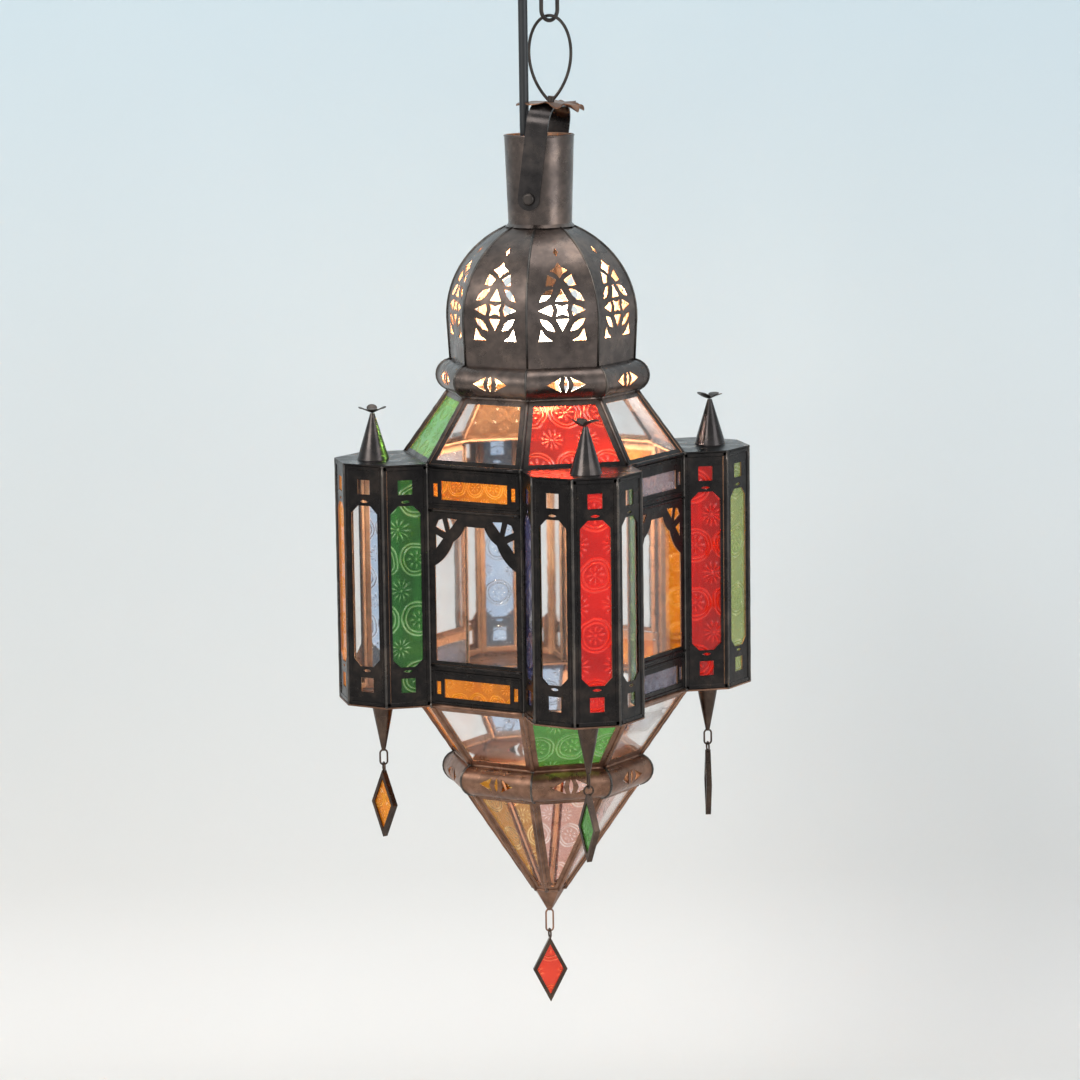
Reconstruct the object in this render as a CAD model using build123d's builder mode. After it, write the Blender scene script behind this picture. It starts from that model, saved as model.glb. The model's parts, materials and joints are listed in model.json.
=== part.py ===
from build123d import *

import os
from math import asin, atan2, cos, degrees, hypot, radians, sin, sqrt, tan

# Hanging fanous lantern of pierced sheet metal and coloured glass, on a ring, a chain link and a canopy.
# Millimetres, +Z up. The origin is on the ceiling plane, straight above the lantern's axis.
# Eight sides stand around the axis: bays on +X, +Y, -X and -Y, arched windows on the diagonals.

os.makedirs("parts", exist_ok=True)

# Driving sizes of the lantern
SIDE_COUNT = 8
SIDE_WIDTH = 70.0
NECK_DROP = 155.0
NECK_HEIGHT = 58.0
DOME_HEIGHT = 86.0
COLLAR_HEIGHT = 20.0
ROOF_HEIGHT = 41.0
BODY_HEIGHT = 155.0
FUNNEL_HEIGHT = 43.0
CONE_HEIGHT = 86.0
SHEET = 0.8
GLASS = 1.6
SEAM = 0.12
OVERRUN = 5.0

# Levels, from the ceiling down
HALF_TURN = radians(180.0 / SIDE_COUNT)
STEP_TURN = 360.0 / SIDE_COUNT
RIM_Z = -NECK_DROP
DOME_TOP_Z = RIM_Z - NECK_HEIGHT
COLLAR_TOP_Z = DOME_TOP_Z - DOME_HEIGHT
COLLAR_FOOT_Z = COLLAR_TOP_Z - COLLAR_HEIGHT
BODY_TOP_Z = COLLAR_FOOT_Z - ROOF_HEIGHT
BODY_BOTTOM_Z = BODY_TOP_Z - BODY_HEIGHT
LOWER_COLLAR_TOP_Z = BODY_BOTTOM_Z - FUNNEL_HEIGHT
LOWER_COLLAR_FOOT_Z = LOWER_COLLAR_TOP_Z - COLLAR_HEIGHT
TIP_Z = LOWER_COLLAR_FOOT_Z - CONE_HEIGHT

# Plan of the body: apothem of the eight sides, and the bays, five sides of a smaller octagon each
BODY_APOTHEM = SIDE_WIDTH / 2 / tan(HALF_TURN)
BAY_APOTHEM = SIDE_WIDTH / 2
BAY_FACE = SIDE_WIDTH * tan(HALF_TURN)
BAY_CENTRE = BODY_APOTHEM + BAY_FACE / 2
BAY_FACE_TURNS = (-90.0, -45.0, 0.0, 45.0, 90.0)
BAYS = ("right", "back", "left", "front")
BAY_SIDES = {bay: BAYS.index(bay) * SIDE_COUNT // len(BAYS) for bay in BAYS}
WINDOW_SIDES = tuple(side for side in range(SIDE_COUNT) if side not in BAY_SIDES.values())

# Neck, dome and collars: radii of the round neck, apothems of the eight-sided rest
NECK_RIM_RADIUS = 22.4
NECK_FOOT_RADIUS = 20.5
NECK_SKIRT_RADIUS = 22.6
NECK_SKIRT_HEIGHT = 2.0
DOME_MOUTH = 20.4
DOME_WAIST = 57.0
DOME_FOOT = 55.6
DOME_WAIST_DROP = 59.0
COLLAR_APOTHEM = 56.2
COLLAR_BULGE = 8.0
ROOF_TOP_APOTHEM = 57.0
CONE_TOP_APOTHEM = 54.5
TIP_CAP_HEIGHT = 15.5
CAME = 4.2
CONE_CAME = 3.4
PANE_INSET = 1.6
CLEARANCE = 0.3

# Suspension: the rivet line of the bail is turned from -Y, and the bail leans away from the cable
HANG_TURN = -31.0
HANG_OFFSET = 8.0
RIVET_DROP = 39.5
BAIL_RISE = 60.0
BAIL_WIDTH = 14.5
BAIL_SHEET = 1.2
BAIL_GAP = 0.6
BAIL_BEND = 12.0
RIVET_RADIUS = 2.0
RIVET_HEAD_RADIUS = 4.0
RIVET_HEAD_HEIGHT = 2.0
RIVET_FIT = 0.05
RIVET_PLAY = 0.2
RIVET_HEAD_ROUND = 1.6
RIVET_INSIDE = 0.3
RIVET_TAIL_RADIUS = 3.2
RIVET_TAIL_HEIGHT = 1.2
RING_WIRE = 1.0
RING_HALF_WIDTH = 14.0
RING_TOP_Z = -78.1
RING_CROWN = 23.0
RING_NECK = 1.4
STUD_RADIUS = 2.2
STUD_HOLE = 2.6
STUD_FOOT_RADIUS = 4.5
STUD_FOOT_HEIGHT = 1.2
STUD_RISE = 4.0
STUD_PLAY = 0.1
ROSETTE_SHEET = 1.0
ROSETTE_DISC = 15.5
ROSETTE_PETALS = 8
PETAL_LENGTH = 6.5
PETAL_HALF_WIDTH = 4.2
LINK_WIRE = 1.3
LINK_LENGTH = 36.0
LINK_WIDTH = 16.5
LINK_TURN = 60.0
LINK_PLAY = 0.8
HOOK_WIRE = 2.0
HOOK_RADIUS = 9.0
CABLE_RADIUS = 3.0
CABLE_ACROSS = -5.3
CABLE_FRONT = 14.0
CABLE_FIRST_RUN = 22.0
CABLE_RIM_DROP = 8.0
CABLE_BEND = 31.0

# Ceiling fitting
CANOPY_RADIUS = 40.0
CANOPY_HEIGHT = 24.0
CANOPY_SHEET = 1.0
CANOPY_CROWN_RADIUS = 30.0
CEILING_GAP = 0.2
BAR_LENGTH = 68.0
BAR_WIDTH = 18.0
BAR_SHEET = 2.5
BAR_HOLE_SPACING = 50.0
BAR_HOLE_RADIUS = 2.5
NUT_RADIUS = 5.5
NUT_HEIGHT = 4.0
BUSH_RADIUS = 6.0
BUSH_FLANGE = 7.5
BUSH_HEIGHT = 7.0
BUSH_FLANGE_HEIGHT = 1.5

# Lamp inside the dome
HOLDER_RADIUS = 14.0
HOLDER_GRIP_RADIUS = 5.5
HOLDER_GRIP_DROP = 3.0
HOLDER_GRIP_HEIGHT = 7.0
HOLDER_SHOULDER = 6.0
HOLDER_LENGTH = 34.0
BRACKET_WIDTH = 12.0
BRACKET_SHEET = 1.2
BRACKET_REACH = 17.6
BRACKET_RISE = 3.0
BULB_RADIUS = 22.5
BULB_NECK_RADIUS = 9.0

# Pierced patterns of the dome and the collars, as shares of a half width and of a height
DOME_PATTERN_WIDTH = 31.0
COLLAR_PATTERN_WIDTH = 25.0
COLLAR_PATTERN_HEIGHT = 10.0
DOME_MIDDLE_SHARES = (
    ((0, 0.135), (0.1, 0.165), (0, 0.195), (-0.1, 0.165)),
    (
        (0, 0.235),
        (0.12, 0.265),
        (0.37, 0.292),
        (0.12, 0.318),
        (0, 0.348),
        (-0.12, 0.318),
        (-0.37, 0.292),
        (-0.12, 0.265),
    ),
    ((0, 0.42), (0.27, 0.51), (-0.27, 0.51)),
    (
        (0.27, 0.53),
        (0.18, 0.575),
        (0.27, 0.62),
        (0, 0.602),
        (-0.27, 0.62),
        (-0.18, 0.575),
        (-0.27, 0.53),
        (0, 0.548),
    ),
    ((0, 0.73), (0.27, 0.64), (-0.27, 0.64)),
)
DOME_FLANK_SHARES = (
    ((0.15, 0.356), (0.5, 0.318), (0.64, 0.396), (0.34, 0.402)),
    ((0.33, 0.42), (0.62, 0.432), (0.82, 0.465), (0.95, 0.513), (0.66, 0.502), (0.46, 0.47)),
    ((1, 0.575), (0.46, 0.533), (0.38, 0.575), (0.46, 0.617)),
    ((0.33, 0.73), (0.62, 0.718), (0.82, 0.685), (0.95, 0.637), (0.66, 0.648), (0.46, 0.68)),
    ((0.9, 0.712), (1, 0.8), (0.42, 0.8), (0.7, 0.768)),
)
COLLAR_MIDDLE_SHARES = (((0, -1), (0.1, -0.4), (0.1, 0.4), (0, 1), (-0.1, 0.4), (-0.1, -0.4)),)
COLLAR_FLANK_SHARES = (((1, 0), (0.26, -0.9), (0.4, 0), (0.26, 0.9)),)

# Bay faces: pierced pattern, measured down from the top of the body
BAY_SLOT_MARGIN = 4.7
BAY_SLOT_TOP = 25.5
BAY_SLOT_CHAMFER = 5.0
BAY_SQUARE = 9.4
BAY_SQUARE_MIDDLE = 13.6
BAY_LENS_MIDDLE = 22.9
BAY_LENS_LENGTH = 6.0
BAY_LENS_HEIGHT = 1.8
PLATE_SHEET = 1.0
PLATE_LIP = 0.8
FINIAL_OUT = 3.0
FINIAL_RADIUS = 10.3
FINIAL_HEIGHT = 29.5
FINIAL_TIP_RADIUS = 1.4
FINIAL_SHEET = 0.7
FLOWER_RADIUS = 3.2
FLOWER_PETALS = 4
FLOWER_PETAL_LENGTH = 6.0
FLOWER_PETAL_HALF_WIDTH = 2.8
FLOWER_SHEET = 0.8
FLOWER_LIFT = 24.0
DROP_RADIUS = 7.8
DROP_HEIGHT = 34.0
DROP_TIP_RADIUS = 1.2

# Window sides: pierced pattern, measured down from the top of the body
WINDOW_STILE = 3.6
RIM_WIDTH = 6.0
RIM_SHEET = 1.2
SLOT_TOP = 9.4
SLOT_HEIGHT = 12.0
LOWER_SLOT_RISE = 6.0
SLOT_MARGIN = 10.5
END_SLOT_WIDTH = 3.2
END_SLOT_HEIGHT = 8.4
END_SLOT_GAP = 2.8
DOOR_TOP = 28.8
DOOR_RISE = 26.6
ARCH_APEX = 37.6
ARCH_SPRING = 64.0
ARCH_CUSP = 48.0
ARCH_CUSP_SHARE = 0.54
ARCH_APEX_SHARE = 0.24
ARCH_SAG_SHARE = 0.09
ARCH_SILL = 3.0
FAN_MARGIN = 3.0
PANE_LAP = 2.4
FAN_SHARES = (
    ((0.43, 0.05), (0.68, 0.04), (0.62, 0.26)),
    ((0.72, 0.32), (0.8, 0.06), (0.9, 0.09), (0.97, 0.22)),
    ((0.79, 0.45), (0.97, 0.37), (0.97, 0.66)),
)
DOOR_GAP = 0.6
HINGE_INSET = 2.6
BARREL_RADIUS = 1.7
PIN_RADIUS = 0.8
PIN_FIT = 0.06
PIN_LENGTH = 10.0
LUG_HEIGHT = 4.0
KNOB_RADIUS = 2.6
KNOB_STEM_RADIUS = 1.2
KNOB_REACH = 6.0
KNOB_INSET = 0.9

# Pendants: a glazed rhombus under a wire loop, hung in an eye
WIRE = 0.6
EYE_WIDTH = 6.0
EYE_LENGTH = 11.0
TIP_EYE_LENGTH = 16.0
EYE_SINK = 1.2
LOOP_RADIUS = 3.0
LOOP_PLAY = 0.2
PENDANT_WIDTH = 22.6
PENDANT_HEIGHT = 44.0
PENDANT_THICKNESS = 3.6
PENDANT_BORDER = 2.3
PENDANT_PANE = 1.6
PENDANT_PANE_LAP = 0.9
PENDANT_SINK = 0.9
PENDANT_TWISTS = {"right": 78.0, "back": 8.0, "left": -63.0, "front": 14.0}
TIP_PENDANT_TWIST = -8.0


def write(part, name):
    """Labels a finished piece and writes it under its node name."""
    part.label = name
    export_step(part, f"parts/{name}.step")


def octant(profile, gap, levels):
    """One eighth of an eight-sided shell facing +X, mitred to its neighbours and cut off at two levels."""
    low, high = sorted(levels)
    with BuildPart() as piece:
        with BuildSketch(Plane.XZ) as section:
            add(profile)
        reach = section.sketch.bounding_box().max.X + OVERRUN
        extrude(amount=reach, both=True)
        apex = gap / 2 / sin(HALF_TURN)
        half = (reach - apex) * tan(HALF_TURN)
        with BuildSketch(Plane.XY.offset(low)):
            with BuildLine():
                Polyline((apex, 0), (reach, half), (reach, -half), close=True)
            make_face()
        extrude(amount=high - low, mode=Mode.INTERSECT)
    return piece.part


def band(top, foot, depth, thickness):
    """Profile of a flat sheet from top to foot, (apothem, z) each, lying depth inside that line."""
    slope = Vector(foot[0] - top[0], foot[1] - top[1]).normalized()
    inward = Vector(slope.Y, -slope.X)
    corners = [
        Vector(*top) + inward * depth,
        Vector(*foot) + inward * depth,
        Vector(*foot) + inward * (depth + thickness),
        Vector(*top) + inward * (depth + thickness),
    ]
    with BuildSketch() as profile:
        with BuildLine():
            Polyline(*corners, close=True)
        make_face()
    return profile.sketch


def slant_plane(top, foot):
    """Plane of a sheet from top to foot on the +X side: local x along +Y, local y up the slope."""
    middle = ((top[0] + foot[0]) / 2, 0, (top[1] + foot[1]) / 2)
    up = Vector(top[0] - foot[0], 0, top[1] - foot[1]).normalized()
    across = Vector(0, 1, 0)
    return Plane(origin=middle, x_dir=across, z_dir=across.cross(up))


def glazed_frame(top, foot, came):
    """One mitred side of a glazed band: a sheet frame with its light cut out."""
    frame = octant(band(top, foot, 0, SHEET), SEAM, (top[1], foot[1]))
    plane = slant_plane(top, foot)
    half_length = hypot(top[0] - foot[0], top[1] - foot[1]) / 2 - came
    lean = (foot[0] - top[0]) / (2 * (half_length + came))
    upper = (top[0] + lean * came) * tan(HALF_TURN) - came / cos(HALF_TURN)
    lower = (foot[0] - lean * came) * tan(HALF_TURN) - came / cos(HALF_TURN)
    with BuildPart() as piece:
        add(frame)
        with BuildSketch(plane):
            with BuildLine():
                Polyline(
                    (-upper, half_length),
                    (upper, half_length),
                    (lower, -half_length),
                    (-lower, -half_length),
                    close=True,
                )
            make_face()
        extrude(amount=OVERRUN, both=True, mode=Mode.SUBTRACT)
    return piece.part


def glazed_pane(top, foot):
    """The pane behind one glazed frame, held clear of its neighbours."""
    length = hypot(top[0] - foot[0], top[1] - foot[1])
    share = PANE_INSET / length
    upper = (top[0] + (foot[0] - top[0]) * share, top[1] + (foot[1] - top[1]) * share)
    lower = (foot[0] + (top[0] - foot[0]) * share, foot[1] + (top[1] - foot[1]) * share)
    return octant(band(upper, lower, SHEET, GLASS), 2 * PANE_INSET, (top[1], foot[1]))


def around(part, sides):
    """Copies of a +X side at the numbered sides, as separate solids."""
    with BuildPart() as group:
        for side in sides:
            with Locations(Rotation(0, 0, side * STEP_TURN)):
                add(part)
    return group.part


def joined(parts):
    """Several pieces of one kind in one node, as separate solids."""
    with BuildPart() as group:
        for part in parts:
            add(part)
    return group.part


def lens(length, height):
    """A pointed lens on its side, made of two arcs."""
    with BuildSketch() as outline:
        with BuildLine():
            ThreePointArc((-length / 2, 0), (0, height / 2), (length / 2, 0))
            ThreePointArc((-length / 2, 0), (0, -height / 2), (length / 2, 0))
        make_face()
    return outline.sketch


# Colours of the glass: sides of roof and funnel, window sides of the strips, and faces of each bay
ROOF_SIDES = {"red": (6,), "green": (4,), "amber": (2,), "grey": (0,)}
FUNNEL_SIDES = {"green": (6,), "amber": (4,), "blue": (2,)}
STRIP_SIDES = {"amber": (1, 5), "grey": (3, 7)}
BAY_COLOURS = {
    "right": ("red", "green", "blue", "green", "amber"),
    "back": ("clear", "clear", "blue", "clear", "clear"),
    "left": ("blue", "clear", "amber", "clear", "green"),
    "front": ("blue", "clear", "red", "clear", "green"),
}

# Frames of the suspension
turn = radians(HANG_TURN)
ACROSS = Vector(cos(turn), sin(turn), 0)
BACKWARD = Vector(-sin(turn), cos(turn), 0)
RIVET_Z = RIM_Z - RIVET_DROP
BAIL_LEAN = asin(HANG_OFFSET / BAIL_RISE)
BAIL_UP = Vector(0, 0, 1) * cos(BAIL_LEAN) + ACROSS * sin(BAIL_LEAN)
BAIL_ACROSS = ACROSS * cos(BAIL_LEAN) - Vector(0, 0, 1) * sin(BAIL_LEAN)
bail_frame = Plane(origin=(0, 0, RIVET_Z), x_dir=BAIL_ACROSS, z_dir=BAIL_UP)
bail_side = Plane(origin=(0, 0, RIVET_Z), x_dir=BACKWARD, z_dir=BAIL_ACROSS)
bail_crown = bail_frame.offset(BAIL_RISE)
hang_point = ACROSS * HANG_OFFSET
CROWN_Z = RIVET_Z + BAIL_RISE * cos(BAIL_LEAN)
RING_CENTRE_Z = RING_TOP_Z - RING_WIRE
LINK_LOW_Z = RING_CENTRE_Z - RING_WIRE - LINK_WIRE - LINK_PLAY
LINK_BOW = LINK_WIDTH / 2 - LINK_WIRE
LINK_HIGH_Z = LINK_LOW_Z + LINK_LENGTH - 2 * LINK_WIRE
HOOK_LOW_Z = LINK_HIGH_Z - LINK_WIRE - HOOK_WIRE - LINK_PLAY / 2
HOOK_EYE_Z = HOOK_LOW_Z + HOOK_RADIUS
CANOPY_FLOOR_Z = -CANOPY_HEIGHT
cable_point = ACROSS * CABLE_ACROSS - BACKWARD * CABLE_FRONT
ring_plane = Plane(origin=hang_point, x_dir=ACROSS, z_dir=-BACKWARD)

# Ceiling bar, screwed to the ceiling inside the canopy
with BuildPart() as ceiling_bar:
    with BuildSketch(Plane.XY.offset(-BAR_SHEET)):
        with Locations(hang_point):
            SlotOverall(BAR_LENGTH, BAR_WIDTH)
            Circle(HOOK_WIRE, mode=Mode.SUBTRACT)
            with GridLocations(BAR_HOLE_SPACING, 0, 2, 1):
                Circle(BAR_HOLE_RADIUS, mode=Mode.SUBTRACT)
    extrude(amount=BAR_SHEET)
write(ceiling_bar.part, "ceiling_bar")

# Ceiling canopy: a spun cup around the bar, with holes for the hook and the cord bush
with BuildPart() as ceiling_canopy:
    with BuildSketch(Plane(origin=hang_point, x_dir=(1, 0, 0), z_dir=(0, -1, 0))):
        with BuildLine():
            outer = ThreePointArc(
                (CANOPY_RADIUS, -CEILING_GAP),
                ((CANOPY_RADIUS + CANOPY_CROWN_RADIUS) / 2 + CANOPY_SHEET, -CANOPY_HEIGHT / 2),
                (CANOPY_CROWN_RADIUS, CANOPY_FLOOR_Z),
            )
            Line(outer @ 1, (0, CANOPY_FLOOR_Z))
            Line((0, CANOPY_FLOOR_Z), (0, CANOPY_FLOOR_Z + CANOPY_SHEET))
            Line((0, CANOPY_FLOOR_Z + CANOPY_SHEET), (CANOPY_CROWN_RADIUS, CANOPY_FLOOR_Z + CANOPY_SHEET))
            ThreePointArc(
                (CANOPY_CROWN_RADIUS, CANOPY_FLOOR_Z + CANOPY_SHEET),
                ((CANOPY_RADIUS + CANOPY_CROWN_RADIUS) / 2, -CANOPY_HEIGHT / 2),
                (CANOPY_RADIUS - CANOPY_SHEET, -CEILING_GAP),
            )
            Line((CANOPY_RADIUS - CANOPY_SHEET, -CEILING_GAP), outer @ 0)
        make_face()
    revolve(axis=Axis(hang_point, (0, 0, 1)))
    with BuildSketch(Plane.XY.offset(CANOPY_FLOOR_Z)):
        with Locations(hang_point):
            Circle(HOOK_WIRE + CLEARANCE)
        with Locations(cable_point):
            Circle(BUSH_RADIUS)
    extrude(amount=CANOPY_SHEET, mode=Mode.SUBTRACT)
write(ceiling_canopy.part, "ceiling_canopy")

# Hook: a shank from the ceiling bar and a closed eye for the chain link
with BuildPart() as canopy_hook:
    with BuildSketch(Plane.XY):
        with Locations(hang_point):
            Circle(HOOK_WIRE)
    extrude(amount=HOOK_EYE_Z + HOOK_RADIUS)
    with BuildSketch(Plane(origin=hang_point + Vector(0, 0, HOOK_EYE_Z), x_dir=ACROSS)):
        with Locations((HOOK_RADIUS, 0)):
            Circle(HOOK_WIRE)
    revolve(axis=Axis(hang_point + Vector(0, 0, HOOK_EYE_Z), tuple(BACKWARD)))
write(canopy_hook.part, "canopy_hook")

# Nut that clamps the canopy on the shank
with BuildPart() as canopy_nut:
    with BuildSketch(Plane.XY.offset(CANOPY_FLOOR_Z - NUT_HEIGHT)):
        with Locations(hang_point):
            RegularPolygon(NUT_RADIUS, 6)
            Circle(HOOK_WIRE, mode=Mode.SUBTRACT)
    extrude(amount=NUT_HEIGHT)
write(canopy_nut.part, "canopy_nut")

# Cord bush in the canopy floor: the cable goes up through it
with BuildPart() as cord_bush:
    with BuildSketch(Plane.XY.offset(CANOPY_FLOOR_Z - BUSH_FLANGE_HEIGHT)):
        with Locations(cable_point):
            Circle(BUSH_FLANGE)
    extrude(amount=BUSH_FLANGE_HEIGHT)
    with BuildSketch(Plane.XY.offset(CANOPY_FLOOR_Z)):
        with Locations(cable_point):
            Circle(BUSH_RADIUS)
    extrude(amount=BUSH_HEIGHT)
    with BuildSketch(Plane.XY.offset(CANOPY_FLOOR_Z - BUSH_FLANGE_HEIGHT)):
        with Locations(cable_point):
            Circle(CABLE_RADIUS)
    extrude(amount=BUSH_FLANGE_HEIGHT + BUSH_HEIGHT, mode=Mode.SUBTRACT)
write(cord_bush.part, "cord_bush")

# Supply cable: up from the lampholder, across to the side of the neck, then straight into the bush
GRIP_TOP_Z = DOME_TOP_Z - HOLDER_GRIP_DROP
cable_low = Vector(0, 0, GRIP_TOP_Z + CABLE_FIRST_RUN)
cable_high = cable_point + Vector(0, 0, RIM_Z - CABLE_RIM_DROP)
cable_route = [
    Vector(0, 0, GRIP_TOP_Z),
    cable_low,
    cable_high,
    cable_point + Vector(0, 0, CANOPY_FLOOR_Z + BUSH_HEIGHT),
]
with BuildPart() as supply_cable:
    with BuildLine() as cable_path:
        FilletPolyline(*cable_route, radius=CABLE_BEND)
    with BuildSketch(Plane.XY.offset(GRIP_TOP_Z)):
        Circle(CABLE_RADIUS)
    sweep(path=cable_path.wires()[0])
write(supply_cable.part, "supply_cable")


def wire_link(plane, width, length, wire):
    """A closed oval of round wire centred on a plane, its length along the plane's y."""
    bow = width / 2 - wire
    straight = length / 2 - wire - bow
    with BuildPart() as piece:
        with BuildLine(plane) as path:
            Line((bow, -straight), (bow, straight))
            ThreePointArc((bow, straight), (0, straight + bow), (-bow, straight))
            Line((-bow, straight), (-bow, -straight))
            ThreePointArc((-bow, -straight), (0, -straight - bow), (bow, -straight))
        start = plane.from_local_coords(Vector(bow, 0, 0))
        with BuildSketch(Plane(origin=start, x_dir=plane.x_dir, z_dir=plane.y_dir)):
            Circle(wire)
        sweep(path=path.wires()[0])
    return piece.part


# Chain link between the hook's eye and the hanging ring
link_turn = radians(HANG_TURN + LINK_TURN)
link_plane = Plane(
    origin=hang_point + Vector(0, 0, (LINK_LOW_Z + LINK_HIGH_Z) / 2),
    x_dir=(cos(link_turn), sin(link_turn), 0),
    z_dir=(sin(link_turn), -cos(link_turn), 0),
)
write(wire_link(link_plane, LINK_WIDTH, LINK_LENGTH, LINK_WIRE), "chain_link")

# Hanging ring: a drop-shaped loop of wire whose ends close on a stud through the rosette and the bail
RING_SHOULDER_Z = RING_CENTRE_Z - RING_CROWN
RING_END_Z = CROWN_Z + ROSETTE_SHEET + RING_NECK
ring_fall = RING_SHOULDER_Z - RING_END_Z
ring_bow = ((RING_HALF_WIDTH - RING_NECK) ** 2 + ring_fall**2) / (2 * (RING_HALF_WIDTH - RING_NECK))
ring_sweep = asin(ring_fall / ring_bow) / 2
ring_flank = RING_HALF_WIDTH - ring_bow * (1 - cos(ring_sweep))
left_mid = (-ring_flank, RING_SHOULDER_Z - ring_bow * sin(ring_sweep))
right_mid = (ring_flank, RING_SHOULDER_Z - ring_bow * sin(ring_sweep))
left_shoulder = (-RING_HALF_WIDTH, RING_SHOULDER_Z)
right_shoulder = (RING_HALF_WIDTH, RING_SHOULDER_Z)
with BuildPart() as hanging_ring:
    with BuildLine(ring_plane) as ring_path:
        ThreePointArc((-RING_NECK, RING_END_Z), left_mid, left_shoulder)
        EllipticalCenterArc((0, RING_SHOULDER_Z), RING_HALF_WIDTH, RING_CROWN, arc_size=180)
        ThreePointArc(right_shoulder, right_mid, (RING_NECK, RING_END_Z))
    ring_wire = ring_path.wires()[0]
    with BuildSketch(Plane(origin=ring_wire @ 0, z_dir=ring_wire % 0)):
        Circle(RING_WIRE)
    sweep(path=ring_wire)
    stud_top = bail_crown.offset(ROSETTE_SHEET + STUD_RISE)
    with BuildSketch(stud_top):
        Circle(STUD_RADIUS)
    extrude(amount=-(STUD_RISE + ROSETTE_SHEET + BAIL_SHEET + STUD_PLAY + STUD_FOOT_HEIGHT))
    with BuildSketch(bail_crown.offset(-BAIL_SHEET - STUD_PLAY)):
        Circle(STUD_FOOT_RADIUS)
    extrude(amount=-STUD_FOOT_HEIGHT)
write(hanging_ring.part, "hanging_ring")

# Rosette: a sheet flower on the crown, one of its gaps turned towards the cable
cable_bearing = degrees(atan2(-CABLE_FRONT, CABLE_ACROSS - HANG_OFFSET))
petal_step = 360.0 / ROSETTE_PETALS
with BuildPart() as rosette:
    with BuildSketch(bail_crown):
        Circle(ROSETTE_DISC)
        with PolarLocations(ROSETTE_DISC, ROSETTE_PETALS, start_angle=cable_bearing + petal_step / 2):
            Ellipse(PETAL_LENGTH, PETAL_HALF_WIDTH)
        Circle(STUD_HOLE, mode=Mode.SUBTRACT)
    extrude(amount=ROSETTE_SHEET)
write(rosette.part, "rosette")

# Bail: a strap bent over the neck, with round ends riveted to its sides
BAIL_INNER = NECK_RIM_RADIUS + BAIL_GAP
with BuildPart() as bail_strap:
    with BuildSketch(bail_side):
        with BuildLine() as strap_line:
            FilletPolyline(
                (-BAIL_INNER - BAIL_SHEET / 2, -BAIL_WIDTH / 2),
                (-BAIL_INNER - BAIL_SHEET / 2, BAIL_RISE - BAIL_SHEET / 2),
                (BAIL_INNER + BAIL_SHEET / 2, BAIL_RISE - BAIL_SHEET / 2),
                (BAIL_INNER + BAIL_SHEET / 2, -BAIL_WIDTH / 2),
                radius=BAIL_BEND,
            )
        trace(line_width=BAIL_SHEET)
    extrude(amount=BAIL_WIDTH / 2, both=True)
    with BuildSketch(Plane(origin=bail_frame.origin, x_dir=BAIL_ACROSS, z_dir=-BACKWARD)):
        with Locations((0, -BAIL_WIDTH / 2)):
            Rectangle(BAIL_WIDTH, BAIL_WIDTH)
        Circle(BAIL_WIDTH / 2, mode=Mode.SUBTRACT)
        Circle(RIVET_RADIUS + RIVET_FIT)
    extrude(amount=BAIL_INNER + OVERRUN, both=True, mode=Mode.SUBTRACT)
    with BuildSketch(bail_crown):
        Circle(STUD_HOLE)
    extrude(amount=-OVERRUN, mode=Mode.SUBTRACT)
write(bail_strap.part, "bail_strap")

# Neck tube: slightly wider at the rim, with a skirt on the dome and holes for the rivets
rivet_plane = Plane(origin=(0, 0, RIVET_Z), x_dir=ACROSS, z_dir=-BACKWARD)
with BuildPart() as neck_tube:
    with BuildSketch(Plane.XZ):
        with BuildLine():
            Polyline(
                (NECK_FOOT_RADIUS - SHEET, DOME_TOP_Z),
                (NECK_SKIRT_RADIUS, DOME_TOP_Z),
                (NECK_FOOT_RADIUS, DOME_TOP_Z + NECK_SKIRT_HEIGHT),
                (NECK_RIM_RADIUS, RIM_Z),
                (NECK_RIM_RADIUS - SHEET, RIM_Z),
                close=True,
            )
        make_face()
    revolve(axis=Axis.Z)
    with BuildSketch(rivet_plane):
        Circle(RIVET_RADIUS)
    extrude(amount=NECK_RIM_RADIUS + OVERRUN, both=True, mode=Mode.SUBTRACT)
write(neck_tube.part, "neck_tube")

# Rivets: shank through bail and neck, a domed head outside and a flat head inside
RIVET_HEAD_AT = BAIL_INNER + BAIL_SHEET + RIVET_PLAY
RIVET_END_AT = NECK_FOOT_RADIUS - SHEET - RIVET_INSIDE
with BuildPart() as rivet:
    with BuildSketch(rivet_plane.offset(RIVET_END_AT)):
        Circle(RIVET_RADIUS)
    extrude(amount=RIVET_HEAD_AT - RIVET_END_AT)
    with BuildSketch(rivet_plane.offset(RIVET_HEAD_AT)):
        Circle(RIVET_HEAD_RADIUS)
    extrude(amount=RIVET_HEAD_HEIGHT)
    fillet(rivet.faces().sort_by(Axis(rivet_plane.origin, rivet_plane.z_dir))[-1].edges(), RIVET_HEAD_ROUND)
    with BuildSketch(rivet_plane.offset(RIVET_END_AT - RIVET_TAIL_HEIGHT)):
        Circle(RIVET_TAIL_RADIUS)
    extrude(amount=RIVET_TAIL_HEIGHT)
with BuildPart() as bail_rivets:
    with Locations(Rotation(0, 0, 0), Rotation(0, 0, 180)):
        add(rivet.part)
write(bail_rivets.part, "bail_rivets")

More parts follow.
